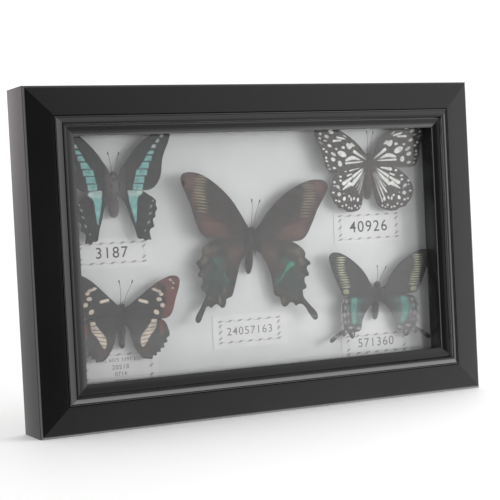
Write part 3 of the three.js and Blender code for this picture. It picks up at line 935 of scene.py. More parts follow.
BODY_DEPTH = 20.3
WING_DEPTH = 17.6
HINDWING_DROP = 0.9
WING_RISE = 4.8
WING_THICKNESS = 0.16
WING_STEP = 0.36
VEIN_EDGES = (0.42, 0.08)
RIM_EDGES = (0.85, 0.15)
RIM_DARKNESS = 0.8
BODY_HALF_DEPTH = 3.4


def vein_paths(outline, root, apex, tornus, hind):
    """Veins from the root: a cell closed at mid-wing, with branches to points along the margin"""
    path = smooth_path(outline, True, 1.0)
    root, apex, tornus = (np.array(p, float) for p in (root, apex, tornus))
    first = int(np.argmin(np.linalg.norm(path - apex, axis=1)))
    last = int(np.argmin(np.linalg.norm(path - tornus, axis=1)))
    count = len(path)
    span = (last - first) % count
    to_apex, to_tornus = apex - root, tornus - root
    upper = root + 0.50 * to_apex + 0.06 * to_tornus
    lower = root + 0.30 * to_apex + 0.36 * to_tornus
    middle = (upper + lower) / 2

    def margin(share):
        return path[(first + int(round(share * span))) % count]

    veins = []

    def vein(*points):
        veins.append(smooth_path([np.array(p, float) for p in points], False, 0.8))

    bow = 0.10 * np.array([-to_apex[1], to_apex[0]]) / 2
    vein(root, root + 0.28 * to_apex + bow, upper)
    vein(root, root + 0.14 * to_apex + 0.17 * to_tornus, lower)
    vein(upper, middle + 0.02 * to_apex, lower)
    branches = [(upper, -0.16), (upper, -0.05), (upper, 0.06), (upper, 0.2), (middle, 0.34), (lower, 0.49)]
    branches += [(lower, 0.64), (root + 0.2 * to_apex + 0.24 * to_tornus, 0.8)]
    for start, share in branches:
        end = margin(share)
        bend = (start + end) / 2 + 0.03 * (end - start)[::-1] * (1 if hind else -1)
        vein(start, bend, end)
    tail_end = margin(0.95)
    vein(root, root + 0.5 * (tail_end - root) + 0.03 * to_tornus[::-1], tail_end)
    return veins


def wing(name, outline, veins, marks, side, turn, stretch, level, material, ripple):
    """A thin sheet inside the outline, with raised veins, a low camber and its marks as attributes"""
    border = smooth_path(outline, True, WING_STEP)
    x, y, triangles, edges = filled(border, WING_STEP)
    rim = path_distance(x, y, border, closed=True)
    vein = np.zeros(x.shape)
    for path in veins:
        vein = np.maximum(vein, eased(path_distance(x, y, path), *VEIN_EDGES))
    vein = np.maximum(vein, RIM_DARKNESS * eased(rim, *RIM_EDGES))
    fold = np.sin(x * 0.33 + ripple) * np.cos(y * 0.27 - ripple)
    fold += 0.5 * np.sin(0.9 * y + 0.4 * x + 2 * ripple)
    height = 0.11 * fold * eased(x, 4, 18) + 0.06 * vein * eased(rim, 0, 1)
    height += 0.5 * eased(x, 12, 50) - 0.18 * eased(rim, 1.6, 0)
    angle = math.radians(turn)
    turned_x = x * stretch * math.cos(angle) - y * math.sin(angle)
    turned_y = x * stretch * math.sin(angle) + y * math.cos(angle)
    rise = math.radians(WING_RISE)
    lifted = level + turned_x * math.sin(rise) + height
    top = np.stack([side * turned_x * math.cos(rise), turned_y, lifted], axis=1)
    under = top - [0, 0, WING_THICKNESS]
    total = len(x)
    faces = [tuple(face) if side > 0 else tuple(face[::-1]) for face in triangles]
    faces += [tuple(index + total for index in face[::-1]) for face in faces]
    for a, b in edges:
        band = (a, a + total, b + total, b)
        faces.append(band if side > 0 else band[::-1])
    layers = np.stack([painted(marks[key], x, y) for key in range(3)] + [np.ones(total)], axis=1)
    place = np.stack([x, y, np.zeros(total)], axis=1)
    attributes = {
        "markings": ("FLOAT_COLOR", np.concatenate([layers, layers * 0.85])),
        "veins": ("FLOAT", np.concatenate([vein, vein])),
        "wing_place": ("FLOAT_VECTOR", np.concatenate([place, place + [0, 0, 9]])),
    }
    return mesh_object(name, np.concatenate([top, under]), faces, material, attributes=attributes)


def pinned(piece, kind, body_turn=0):
    """Moves a piece from the butterfly's own frame to its place over the card"""
    tilt = math.radians(kind["tilt"])
    ahead = Matrix.Rotation(-tilt, 4, "Y") @ Matrix.Rotation(math.pi / 2, 4, "X")
    twist = Matrix.Rotation(math.radians(body_turn), 4, "Z")
    cx, cz = kind["centre"]
    place = Matrix.Translation(Vector((cx, depth_to_y(BODY_DEPTH), cz)) * MM)
    piece.data.transform(place @ ahead @ twist)
    return piece


# Outlines and bodies of the five kinds

BLUEBOTTLE = {
    "name": "bluebottle",
    "centre": (-97.9, 152),
    "tilt": -1.9,
    "turns": {("fore", -1): -1, ("fore", 1): 0, ("hind", -1): -5, ("hind", 1): 0},
    "fore": [
        (0.5, 3.5), (2.6, 6.5), (4.5, 11), (7.5, 15.2), (10.5, 19.5), (14, 23.5), (18, 27.5), (22, 30.8),
        (26, 33.4), (30, 35.2), (34, 36.2), (36.6, 36), (37.4, 34.2), (36.9, 31.5), (35.6, 27), (33.2, 21.5),
        (31.8, 17), (31.2, 12.5), (30.8, 8), (29.6, 4), (27.6, 0.8), (25, -1.6), (21.5, -2.8), (16, -3),
        (9, -2.8), (4, -2.4), (0.5, -1.5),
    ],
    "hind": [
        (0.5, 0), (6, 0.4), (13, -0.6), (19.5, -3.6), (22.5, -5.6), (25.6, -7.6), (27.4, -9.6), (27.2, -12),
        (28, -14.8), (26.8, -17), (26.8, -19.6), (25.2, -21.2), (25.4, -23.6), (25.8, -26), (23.8, -27.2),
        (22.8, -29), (23.2, -31.8), (23.7, -34.3), (21.7, -34.2), (20, -35), (18.4, -33.6), (16.6, -33.7),
        (15, -33), (13.8, -29.5), (12.6, -25.5), (10.4, -20), (8.4, -14), (5.8, -9.6), (3, -6.8), (0.5, -5),
    ],
    "body": [(-19.6, 0), (-18.8, 1.6), (-15, 2.8), (-10, 2.7), (-5.5, 2.2), (-2, 3.1), (1.5, 3.4), (4.2, 2.4),
        (5, 1.5), (6.3, 1.9), (7.4, 1.1), (7.8, 0)],
    "antenna": [(0.7, 7), (1.6, 13), (3.4, 20)],
}

PEACOCK = {
    "name": "peacock",
    "lean": 0.9,
    "centre": (-3.6, 110.5),
    "tilt": -4,
    "turns": {("fore", -1): 2, ("fore", 1): 0, ("hind", -1): 0, ("hind", 1): 0},
    "stretch": {("fore", -1): 1.03},
    "left_hind": [
        (0.5, 3), (8, 4.5), (18, 4.2), (26, 2.6), (30.5, 1), (34, -1.5), (36.8, -4.2), (37.2, -7.5),
        (38.2, -10.2), (40.8, -12.4), (41.6, -13.8), (39.6, -16.2), (38.6, -18.2), (40, -20.6),
        (39.6, -22.2), (36.8, -23.2), (36.4, -25.8), (37.8, -29), (36.8, -30.8), (34.6, -32.4),
        (34.6, -35.4), (36, -38.6), (38.6, -43.4), (41, -47.6), (41.6, -50.2), (40.4, -52), (38.2, -51.6),
        (36.6, -48.6), (34.8, -44.6), (33.2, -41.6), (31.4, -41.4), (30, -42.4), (28.4, -41.2), (26, -40),
        (24, -41), (22, -42.4), (20, -42), (18.9, -39.8), (18.4, -36.8), (16, -35.6), (14.4, -34.8),
        (13.2, -31.5), (12, -27.5), (11, -23.5), (10, -19.5), (9, -15), (7.4, -11.4), (5, -8), (3, -6.4),
        (0.5, -4.6),
    ],
    "fore": [
        (0.5, 6.5), (3, 10), (5.2, 13), (8, 17), (11.2, 21.2), (15, 26), (19.8, 30.6), (25, 34.8), (30, 38),
        (35, 40.7), (40, 42.6), (45, 43.4), (50, 43.1), (53, 41.6), (54, 38.8), (53, 35.4), (50.9, 31.3),
        (48.5, 27), (46.4, 23.2), (44.9, 19.4), (43.5, 15.8), (42, 12.4), (40.6, 9.4), (38.9, 6.3),
        (36.8, 3.9), (34, 2.4), (30, 1.7), (22, 1.2), (12, 0.8), (4, 0.4), (0.5, 0.2),
    ],
    "hind": [
        (0.5, 3), (8, 4.5), (18, 4.2), (26, 2.6), (31.5, 0.4), (35.4, -2), (37.6, -4.2), (38.7, -6.6),
        (38.4, -8.6), (40.2, -10.2), (42, -11.9), (42.3, -13.3), (40, -14.8), (40, -17), (41.3, -19.6),
        (41, -21.1), (38.7, -21.9), (38.4, -25), (39.8, -28.3), (39, -29.8), (37.3, -30.6), (37.2, -33),
        (38, -35.6), (40.2, -38.2), (43.2, -41.3), (46.2, -44.2), (48.1, -47.2), (48.1, -49.6),
        (46.4, -50.7), (44.4, -49.6), (42, -46.4), (39.4, -42.6), (36.8, -40.3), (34.4, -40), (32.4, -41.2),
        (30.7, -39.4), (28.2, -39), (25.8, -41.4), (23.6, -41.7), (21.9, -40.2), (20.8, -35.6),
        (18.4, -34.8), (16.9, -33.6), (15.9, -29.5), (15.1, -24.5), (13.8, -19.5), (11.3, -14),
        (8.6, -9.4), (5.6, -5.8), (3, -4.4), (0.5, -3.6),
    ],
    "body_turn": -4,
    "body": [(-20, 0), (-19.2, 0.9), (-16.5, 1.7), (-12, 2.1), (-5.5, 1.8), (-2, 2.9), (2, 3.5), (5.6, 2.6),
        (6.8, 1.6), (8.3, 2), (9.7, 1.2), (10.2, 0)],
    "antenna": [(0.9, 9), (1.2, 18), (2.8, 28)],
}

TIGER = {
    "name": "tiger",
    "centre": (89.4, 159.3),
    "tilt": 2,
    "body_turn": -6.5,
    "turns": {("fore", -1): 0, ("fore", 1): 0, ("hind", -1): 0, ("hind", 1): -6},
    "fore": [
        (0.5, 3), (3, 7.6), (5.6, 11.3), (8.4, 14.4), (12.8, 18.2), (17.5, 21.6), (22.2, 24.4), (27, 26.5),
        (32, 27.7), (37, 28.1), (41, 27.6), (43.4, 25.8), (43.9, 23), (43, 19.6), (41.5, 15.8), (40, 12.4),
        (39.2, 9.3), (38.4, 6), (37.4, 2.4), (35.8, -0.9), (34, -3), (31.4, -3.7), (27, -3.6), (22, -3.1),
        (15, -2.2), (8, -1.5), (0.5, -1),
    ],
    "hind": [
        (0.5, 0.5), (8, 1), (16, 0), (22, -2), (26, -4.4), (29.4, -7), (31.7, -10), (33.3, -13.2),
        (34, -16), (33.7, -18.8), (32.7, -21.6), (31.4, -23.9), (29.9, -25.2), (28.4, -27.3), (25.7, -28.3),
        (23.3, -29.2), (22, -30.4), (18.9, -31), (15.6, -31), (12.3, -30.4), (10, -28.7), (8.6, -26),
        (7.6, -22), (6.5, -17), (5.3, -11.4), (3.6, -6.6), (0.5, -4),
    ],
    "right_hind": [
        (0.5, 0.5), (8, 1), (16, 0), (22, -2), (26, -4.4), (29.4, -7), (31.7, -10), (33.3, -13.2),
        (34, -16), (33.7, -18.8), (32.7, -21.6), (31.4, -23.9), (29.9, -25.2), (28.4, -27.3), (25.7, -28.3),
        (23.3, -29.2), (22, -30.4), (18.9, -31), (15.6, -31), (12.3, -30.4), (9, -29.2), (6.9, -27.6),
        (5.4, -24.6), (4.2, -20), (3.3, -15), (2.4, -10), (1.4, -6), (0.5, -4),
    ],
    "body": [(-23.2, 0), (-22.4, 1.2), (-18, 1.9), (-12, 1.9), (-6, 1.6), (-2, 2.5), (1.5, 2.9), (4.2, 2.2),
        (5, 1.4), (6, 1.6), (7, 1), (7.4, 0)],
    "antenna": [(0.6, 6.4), (1, 14), (2.4, 22)],
}

ADMIRAL = {
    "name": "admiral",
    "lean": 2.4,
    "centre": (-96.8, 70),
    "tilt": -2.8,
    "turns": {("fore", -1): 3, ("fore", 1): 0, ("hind", -1): -2, ("hind", 1): 0},
    "fore": [
        (0.5, 4), (4.6, 6.9), (8, 9.5), (12, 12.6), (16, 15.8), (20, 19), (24.5, 21.8), (28, 23.5),
        (31.2, 24.7), (34.2, 24.8), (36.5, 23.9), (37.6, 22), (37.5, 19.2), (36.8, 15.8), (35.6, 12.2),
        (34.6, 9), (33.9, 5.8), (32.9, 2.4), (31.4, -0.4), (29.2, -2), (26, -2.6), (20, -2.2), (12, -1.9),
        (5, -1.8), (0.5, -1.6),
    ],
    "hind": [
        (0.5, 0), (8, 0.6), (16, 0), (22, -1.6), (26.6, -3.3), (28.8, -5.6), (30.1, -8.6), (30.9, -11.2),
        (31, -13.6), (29.1, -15.1), (29.6, -17.6), (27.3, -18.4), (27.5, -21), (25.1, -21.6),
        (25, -23.8), (22.7, -24), (22.3, -26.1), (20.2, -26), (19.5, -28.1), (17, -28),
        (14.6, -27.8), (12.4, -26.6), (10.6, -24.2), (8.2, -21), (6.4, -17), (5.2, -12.4), (3.6, -8),
        (0.5, -5),
    ],
    "body": [(-20.6, 0), (-19.8, 1.1), (-15, 1.6), (-10, 1.7), (-6, 1.6), (-2.5, 2.7), (1, 3.1), (3.6, 2.3),
        (4.4, 1.4), (5.4, 1.6), (6.3, 0.9), (6.6, 0)],
    "antenna": [(0.8, 5.8), (2, 13), (4.3, 21)],
}

BANDED = {
    "name": "banded",
    "lean": 1.6,
    "centre": (91.3, 70.5),
    "tilt": 0,
    "turns": {("fore", -1): 0, ("fore", 1): -3, ("hind", -1): 0, ("hind", 1): -5},
    "fore": [
        (0.5, 3.5), (4.6, 5), (6.8, 8.4), (9, 12.4), (12, 16.5), (15.6, 20.2), (20, 23.8), (25, 27.1),
        (30, 29.5), (34, 30.4), (37.4, 30.1), (39.3, 28.4), (39.6, 25.8), (38.9, 22.2), (37.4, 18.2),
        (35.6, 13.6), (33.6, 8.8), (31.8, 4.6), (30.2, 1.7), (27.8, 0.4), (22, -0.2), (12, -0.4), (4, -0.4),
        (0.5, -0.4),
    ],
    "hind": [
        (0.5, 1), (8, 1.4), (18, 1), (25, -0.2), (29.2, -1.6), (30.9, -3.4), (30.3, -5), (32, -6.6),
        (31, -8.6), (31.2, -10.4), (32.2, -12.6), (31, -14.6), (31.2, -16.4), (31.8, -18.6), (31, -20.6),
        (31.4, -22.4), (34.5, -24.2), (38.2, -26.2), (41.2, -28), (41.8, -29.6), (40.4, -30.6),
        (38.2, -29.8), (35.8, -27.9), (33.2, -26.3), (31.6, -25.8), (30.4, -27.1), (28.9, -26.8),
        (27.8, -25.8), (25.9, -26), (24.6, -28.4), (22.6, -29.2), (20.9, -27.8), (20.3, -25),
        (17.2, -24.8), (15.4, -23), (14.6, -20), (13.6, -17), (12, -14), (10, -11.4), (8, -9),
        (5.4, -7.2), (3, -6.2), (0.5, -5),
    ],
    "body_turn": -8,
    "body": [(-17.6, 0), (-16.8, 1.0), (-13, 1.6), (-9, 1.6), (-5, 1.4), (-1.5, 2.5), (2, 2.9), (4.4, 2.1),
        (5.2, 1.4), (6.2, 1.7), (7.1, 1), (7.5, 0)],
    "antenna": [(0.8, 6.6), (1.5, 12), (3.2, 18)],
}


# Marks of each kind: three lists for each wing, one for each marking colour of its finish

def cell(low, high, low_left, high_left, low_right, high_right, edge=0.3):
    """A four-cornered field between two veins"""
    corners = np.array([(low_left, low), (low_right, low), (high_right, high), (high_left, high)], float)
    return field(corners, 0, 2 * edge)


def turned(marks, degrees):
    """The same marks, drawn on a wing that was turned by so many degrees"""
    cos, sin = math.cos(math.radians(degrees)), math.sin(math.radians(degrees))
    return [lambda x, y, mark=mark: mark(x * cos - y * sin, x * sin + y * cos) for mark in marks]


def bluebottle_marks(side):
    band = [
        cell(-3.0, 1.5, 11.7, 11.9, 18.4, 19.2), cell(1.5, 6.2, 12.2, 13.4, 19.6, 20.0),
        cell(6.2, 10.6, 13.2, 14.6, 21.4, 22.0), cell(10.6, 15.2, 15.4, 18.6, 22.8, 23.4),
        cell(15.5, 19.3, 18.9, 21.2, 24.8, 25.2), cell(19.8, 22.7, 21.2, 23.6, 26.2, 26.6),
    ]
    tip = [cell(23.6, 26.4, 23.8, 25.5, 27.4, 28), cell(27.3, 30, 26.6, 28.6, 29.8, 30.4)]
    tip += [cell(30.6, 32.6, 29.4, 31, 32.4, 33.2), glow(16, -2.5, 4, 1.4, 0, 0.4)]
    fan = patch(
        (9.3, -2.4), (14, -2.2), (18.5, -3), (18.2, -4.6), (16, -6.5), (15.2, -8.5), (14.9, -12), (14.6, -17),
        (14.2, -22), (13.6, -23.6), (12.7, -20.5), (11.5, -16.5), (10, -11), (9.3, -6))
    crown = patch((9.3, -1.6), (18.4, -2.6), (18.2, -4.7), (14.6, -6.4), (9.5, -5.6), edge=0.9)
    moons = [spot(24, -13.2, 1.1, 0.5, 60), spot(23.4, -17.6, 1.2, 0.5, 30), spot(22.1, -23.4, 1.3, 0.5, 55)]
    moons += [spot(19.8, -28.5, 0.9, 0.5, 40), spot(25.3, -9.6, 0.8, 0.4, 50)]
    return {
        "fore": [[*band, *[faded(mark, 0.6) for mark in tip]], tip, []],
        "hind": [[fan], [faded(crown, 0.8), *[faded(moon, 0.55) for moon in moons]], []],
    }


# Each dash on a forewing: its height and its two ends
DASHES = [
    (41.2, 35, 42), (39.5, 35.4, 43.6), (37.8, 36, 44.6), (36, 36.4, 45.4), (34.2, 36.4, 45.6),
    (32.4, 36.4, 45.4), (30.5, 36, 45),
    (28.6, 35.4, 44.6), (26.7, 34.8, 44), (24.7, 34, 43.4), (22.7, 33.6, 42.8), (20.7, 33.4, 42),
    (18.6, 33.2, 41.4),
]


def dashes(rows, half_height):
    """Thin strokes, each a height and two ends across the forewing"""
    return [
        spot((start + end) / 2, height, (end - start) / 2, half_height, 2, edge=0.2)
        for height, start, end in rows]


def peacock_marks(side):
    """The left wings are paler gold and have only a trace of green"""
    left = side < 0
    golden = [faded(mark, 0.95 if left else 0.7) for mark in dashes(DASHES, 0.5)]
    golden += [glow(40.5, 31, 4.5, 9, 4, 0.25 if left else 0.18)]
    rose = [
        glow(30, 9, 15, 8, 16, 0.95), glow(47, 38, 8, 8, 20, 0.75), glow(44, 24, 6, 12, 10, 0.45),
        glow(36, 16, 8, 6, 30, 0.5),
    ]
    light = patch(
        (24, -17.6), (26, -18.2), (28.2, -15.6), (30.8, -13.8), (29.8, -11.8), (27, -12.4), (24.6, -15.4),
        edge=1.1)
    trail = streak((25, -17.4), (19.4, -26), 2.0, 0.7, edge=0.8)
    faint = streak((27.4, -11), (23.4, -17.4), 3.6, 2.8, edge=2)
    green = [
        faded(trail, 0.22 if left else 0.6), glow(18.5, -25, 3, 5, 0, 0.25), glow(24, -12, 5, 5, 0, 0.22),
        glow(27, -22, 13, 22, 20, 0.13),
    ]
    if left:
        green += [faded(faint, 0.3), faded(streak((20.6, -20), (18.4, -26.5), 0.8, 0.6, edge=0.5), 0.4)]
    else:
        green += [light, glow(28, -14, 2.2, 1.6, 40, 0.3)]
    olive = [
        glow(33.5, -5.5, 4.5, 4, -40, 0.35), glow(35.5, -11, 4, 3, -60, 0.35), glow(30, -4, 6, 3, 0, 0.3),
    ]
    moons = [
        glow(23.5, -37.5, 1.2, 2.6, -10, 0.6), glow(31, -36, 2.2, 1.2, 30, 0.35),
        glow(37.8, -27, 1, 2, 0, 0.3),
        glow(34.4, -3.4, 1.6, 1.4, -30, 0.5), glow(20, -31, 1.4, 2.4, 0, 0.35),
        faded(streak((36.6, -14), (38.4, -12.2), 0.7, edge=0.4), 0.4),
        faded(streak((36.2, -22), (37.6, -20.4), 0.7, edge=0.4), 0.4),
        faded(streak((35.4, -30.4), (36.4, -29), 0.7, edge=0.4), 0.4),
        faded(streak((27.4, -37.6), (29, -36.6), 0.7, edge=0.4), 0.35),
    ]
    wine = [
        glow(33.5, -17.5, 2.6, 3.4, 0, 0.3), glow(20.5, -15, 2.6, 4, 20, 0.4),
        glow(27.5, -8.5, 2.6, 2, 0, 0.3),
        glow(13, -7, 7, 9, 0, 0.5),
    ]
    return {"fore": [[], golden, rose], "hind": [green, [*olive, *moons], wine]}


def tiger_marks(side):
    fore = [
        streak((4, 3.6), (13.4, 8.2), 0.9, 2.1),
        patch((8.2, 2.8), (14.2, 5.2), (18.4, 4), (21, 1.6), (20.6, 1.2), (14, 2.6)),
        streak((6.4, 1.8), (20, -0.2), 0.7, 1.5),
        patch(
            (20.2, 12.6), (19.4, 13.8), (17.4, 13.4), (15.6, 14.2), (14.6, 13.4), (12.8, 12), (15.2, 11.4),
            (17, 9.6), (18.4, 9.6), (19.6, 11.2)),
        spot(23.5, 6, 3.7, 1.95, 15), spot(25.1, -0.7, 1.6, 2.0, -25), spot(30.6, 5.4, 2.2, 1.0, 25),
        spot(30.7, 1.9, 1.9, 1.3, 15), spot(29.5, -4, 1.5, 0.8, 5), spot(34, 10.9, 1.7, 1.0, 15),
        spot(28.4, 9.1, 1.2, 0.7, 10), spot(22.5, 10.4, 1.3, 0.9, 0), spot(36.5, 16.9, 1.8, 1.1, 15),
        spot(41.8, 18.4, 1.1, 0.8, 15), spot(42, 15.4, 0.9, 0.6, 15), spot(37.6, 14, 1.4, 0.45, 5),
        spot(33, 20.2, 2.1, 1.2, 12), streak((30.8, 14.3), (24.8, 15.2), 1.5, 1.2),
        streak((28, 17), (21.8, 16.4), 1.2, 1.1),
        streak((22.6, 18.6), (20.4, 17.6), 0.8, 0.5), spot(38.7, 8.3, 0.9, 0.7),
        spot(36.4, 6.7, 1.0, 0.7, 10),
        spot(36.5, 2.6, 0.8, 0.9), spot(36, 0.3, 1.1, 0.6, 10), faded(spot(34.5, -2.4, 0.9, 0.6), 0.6),
        faded(spot(33.4, -4.9, 0.9, 0.6), 0.6), faded(spot(41.6, 12.6, 0.6, 0.5), 0.5),
        faded(spot(40.3, 11.7, 0.6, 0.7), 0.4),
        spot(38.6, 22.6, 0.9, 0.6), spot(34.5, 24.5, 1.2, 0.6, 10), spot(29.5, 22.6, 1.4, 0.6, -10),
    ]
    hind = [
        streak((5.4, -2.8), (13.2, -8.6), 0.6, 2.2), streak((5, -4), (13.6, -14), 0.6, 2.7),
        streak((8.4, -2.5), (15.8, -4.2), 0.6, 2.3), streak((15.2, -10), (21.2, -14), 1.7, 2.6),
        streak((16, -14), (21.6, -18), 3.0, 0.9), streak((15, -7.2), (18.2, -8.6), 0.8, 1.2),
        spot(23.8, -9.4, 1.3, 0.7, 0), spot(23.8, -12.1, 1.0, 0.8), spot(28.8, -13.4, 1.0, 0.8),
        spot(25.8, -16.5, 1.6, 1.0, 30),
        spot(24.7, -21.4, 1.5, 1.3, -20), spot(29.5, -20.5, 1.1, 0.6), spot(27, -25.7, 1.0, 0.6),
        spot(24.5, -26.2, 1.0, 0.8),
        spot(20.3, -24.3, 1.1, 1.5, 20), spot(14.8, -24.3, 0.7, 1.3, -10), spot(12.3, -23.7, 0.7, 1.2, 20),
        spot(9, -24.4, 0.9, 1.3, 10), spot(16.3, -22.3, 0.8, 0.8), spot(21.8, -29.3, 0.9, 0.6),
        spot(18.6, -28.5, 0.8, 0.8),
        spot(16.2, -30.2, 0.9, 0.6), spot(14, -30.5, 0.6, 0.7), spot(11.2, -28.8, 0.7, 0.8),
        spot(9.3, -30, 0.7, 0.5),
        spot(7.2, -28.8, 0.6, 0.8), spot(19.9, -5.4, 1.0, 0.7, 10), faded(spot(28.6, -16, 0.8, 0.6), 0.6),
        faded(spot(24.2, -18.3, 0.5, 0.4), 0.8), faded(spot(20.9, -20.8, 0.6, 0.4), 0.6),
    ]
    shaft = [streak((3.2, -5), (8.2 + 1.3 * k, -20 + 2.2 * k), 0.35, 0.8, edge=0.3) for k in range(5)]
    rays_near_body = [faded(mark, 0.75 if side > 0 else 0.5) for mark in shaft]
    if side > 0:
        rays_near_body += [
            streak((1.8, -6), (7.4, -26), 0.5, 1.0), streak((2.6, -6), (9.6, -24), 0.5, 1.0),
            streak((3.4, -5.6), (11, -19.6), 0.5, 1.2),
        ]
    return {"fore": [turned(fore, -6.9), [], []], "hind": [turned(hind + rays_near_body, -6.9), [], []]}


def holed(mark, holes):
    """A mark that leaves other marks free"""
    return lambda x, y: mark(x, y) * (1 - painted(holes, x, y))


VEIN_SHARE = 0.09


def admiral_marks(side):
    """Cream spots on black; the right forewing has a rust margin"""
    tip_spots = [spot(31.4, 22, 1.2, 0.7, -25), spot(33.4, 20.2, 1.1, 0.7, -45), spot(33, 16.9, 0.9, 0.6)]
    spots = [
        streak((11, 9.4), (15.8, 8.2), 1.9, 2.0), streak((19.6, 16.4), (24.3, 14.8), 1.2, 2.0),
        spot(25.2, 13.1, 1.5, 1.1, -10),
        spot(23.8, 9.8, 1.8, 1.3, -10), spot(26.2, 6, 1.7, 1.4, -25), spot(22, 1.7, 1.9, 1.5, -30),
        *tip_spots,
        streak((19.3, 16.6), (21.4, 17), 0.8, 0.5),
    ]
    rust_share = 1 if side > 0 else 0.08
    rust = [
        patch(
            (26, 24), (33, 25.5), (38, 22), (37, 12), (34, 2), (30, -2.6), (26, -2.8), (26.6, 3), (28.4, 8),
            (27.6, 13), (28.4, 18), (24, 21), edge=1.2),
        glow(21, 19, 4, 3, 30, 0.6),
    ]
    left_edge = [
        (19.3, -2.5), (18.5, -5), (16, -8.5), (14, -10.5), (12.2, -13.5), (11.7, -16), (12, -18.5),
        (12.8, -20.3),
    ]
    right_edge = [
        (22.7, -2.6), (22.5, -5.5), (22.2, -7.5), (21.3, -9.5), (19, -12), (17, -15), (15.8, -17.5),
        (13.8, -20.4),
    ]
    band = []
    for corners in zip(left_edge, right_edge, right_edge[1:], left_edge[1:]):
        a, b, c, d = (np.array(corner) for corner in corners)
        up, down = (d - a) * VEIN_SHARE, (c - b) * VEIN_SHARE
        band.append(field(np.array([a + up, b + down, c - down, d - up]), -0.3, 0.3))
    red = [patch((24.6, -3.4), (26.6, -4.4), (27.4, -8), (27, -12.6), (25.2, -13.4), (24.4, -9), edge=0.7)]
    red += [glow(13.4, -22.4, 1.4, 1.8, 0, 0.8), glow(16, -22, 7, 6, 50, 0.25)]
    rim = [
        glow(29, -9, 2, 6, 0, 0.6), glow(26, -20, 4, 3, -50, 0.6), glow(18, -26, 6, 2.4, -20, 0.6),
        glow(23, -14, 3, 5, -30, 0.3),
    ]
    rust = [faded(holed(mark, tip_spots), rust_share) for mark in rust]
    return {"fore": [spots, rust, []], "hind": [band, red, rim]}


# Each stripe on a forewing: its height and its two ends
STRIPES = [
    (26.6, 26, 33), (25, 26.2, 33.6), (23.3, 27, 34), (21.6, 27.4, 34.2), (19.9, 27.4, 33.8),
    (18.2, 27.2, 33.2),
    (16.5, 26.4, 32.8), (14.8, 25.4, 32.2), (13.1, 24.8, 31.8), (11.4, 24.4, 31.4), (9.7, 24, 31),
    (8, 23.6, 30.6), (6.3, 23.4, 30),
]


def banded_marks(side):
    """Pale dashes on the forewing, a blue-green band and mottled scallops on the hindwing"""
    stripes = dashes(STRIPES, 0.46)
    haze = patch(
        (24, 5), (30, 5), (32.2, 11), (33.6, 18), (34.6, 26), (32, 28.2), (28.4, 25), (26.4, 16), (24.6, 10),
        edge=1.6)
    step = patch((24.6, 2), (28.6, 1.8), (29.2, 4.4), (25.2, 4.6), edge=0.5)
    lime = [*[faded(mark, 0.9) for mark in stripes], faded(haze, 0.05), faded(step, 0.6)]
    straight = [
        (17.6, -2), (22.4, -2.4), (23, -8), (23, -14), (22.6, -18.6), (20, -19), (18.8, -12), (17.8, -6),
    ]
    curved = [
        (17.6, -1.8), (22.4, -2.2), (24.2, -6.5), (24.4, -11), (23, -15.4), (20.2, -19.2), (16.8, -20.2),
        (18.2, -16), (18.8, -10.5), (18.2, -5.5)]
    teal = [
        patch(*(curved if side > 0 else straight), edge=1.3),
        glow(16.4, -18.4, 4.5, 1.8, 0, 0.6), glow(15, -4, 5, 2.6, 0, 0.5), glow(25.6, -8, 1.3, 3, 0, 0.5),
        glow(17, -11, 3.4, 8, 0, 0.3),
    ]
    scallops = [
        streak((28.6, -1.6), (30.4, -4.6), 1.5, 1.1, edge=0.5),
        streak((31.2, -6.4), (31.4, -10.4), 1.4, 1.7, edge=0.5),
        streak((31.3, -12.2), (31.2, -16), 1.4, 1.7, edge=0.5),
        streak((31, -18), (30.6, -21.6), 1.4, 1.6, edge=0.5),
        streak((28.4, -24), (26.4, -26), 1.3, 1.0, edge=0.5),
        streak((22.6, -25.4), (21.8, -27.4), 1.2, 0.9, edge=0.5),
    ]
    blush = [
        glow(28.6, -12.5, 1.3, 2.2, 0, 0.9), glow(28.4, -17.4, 1.3, 1.8, 0, 0.8),
        glow(27.8, -7.6, 1.3, 2.2, 0, 0.8),
        glow(25.8, -12, 1.2, 4, 0, 0.45), glow(24, -21.6, 2.4, 1.0, 0, 0.8),
        glow(17.6, -22.6, 2.8, 1.1, 0, 0.9),
        glow(26.6, -3.4, 1.4, 1.6, 0, 0.7), glow(25.6, -17.4, 1.2, 2, 0, 0.5),
        glow(37, -26.6, 4, 0.8, 25, 0.6),
        *[faded(mark, 0.85) for mark in scallops],
    ]
    return {"fore": [lime, [], []], "hind": [[], teal, blush]}


FINISHES = {
    "bluebottle": wing_finish(
        "bluebottle_wings", (0.010, 0.010, 0.012), (0.020, 0.019, 0.021), (0.19, 0.44, 0.42),
        (0.44, 0.56, 0.52),
        (0.2, 0.2, 0.2), (0.006, 0.006, 0.007)),
    "peacock": wing_finish(
        "peacock_wings", (0.013, 0.010, 0.010), (0.024, 0.017, 0.016), (0.035, 0.27, 0.185),
        (0.26, 0.215, 0.135),
        (0.125, 0.056, 0.046), (0.010, 0.008, 0.008)),
    "tiger": wing_finish(
        "tiger_wings", (0.028, 0.021, 0.022), (0.050, 0.039, 0.038), (0.76, 0.77, 0.73), (0.2, 0.2, 0.2),
        (0.2, 0.2, 0.2), (0.026, 0.020, 0.019)),
    "admiral": wing_finish(
        "admiral_wings", (0.006, 0.007, 0.007), (0.013, 0.014, 0.013), (0.60, 0.51, 0.42),
        (0.12, 0.030, 0.026),
        (0.050, 0.050, 0.056), (0.010, 0.006, 0.006)),
    "banded": wing_finish(
        "banded_wings", (0.016, 0.016, 0.017), (0.030, 0.029, 0.030), (0.44, 0.45, 0.29),
        (0.065, 0.225, 0.185),
        (0.42, 0.385, 0.39), (0.012, 0.012, 0.012)),
}
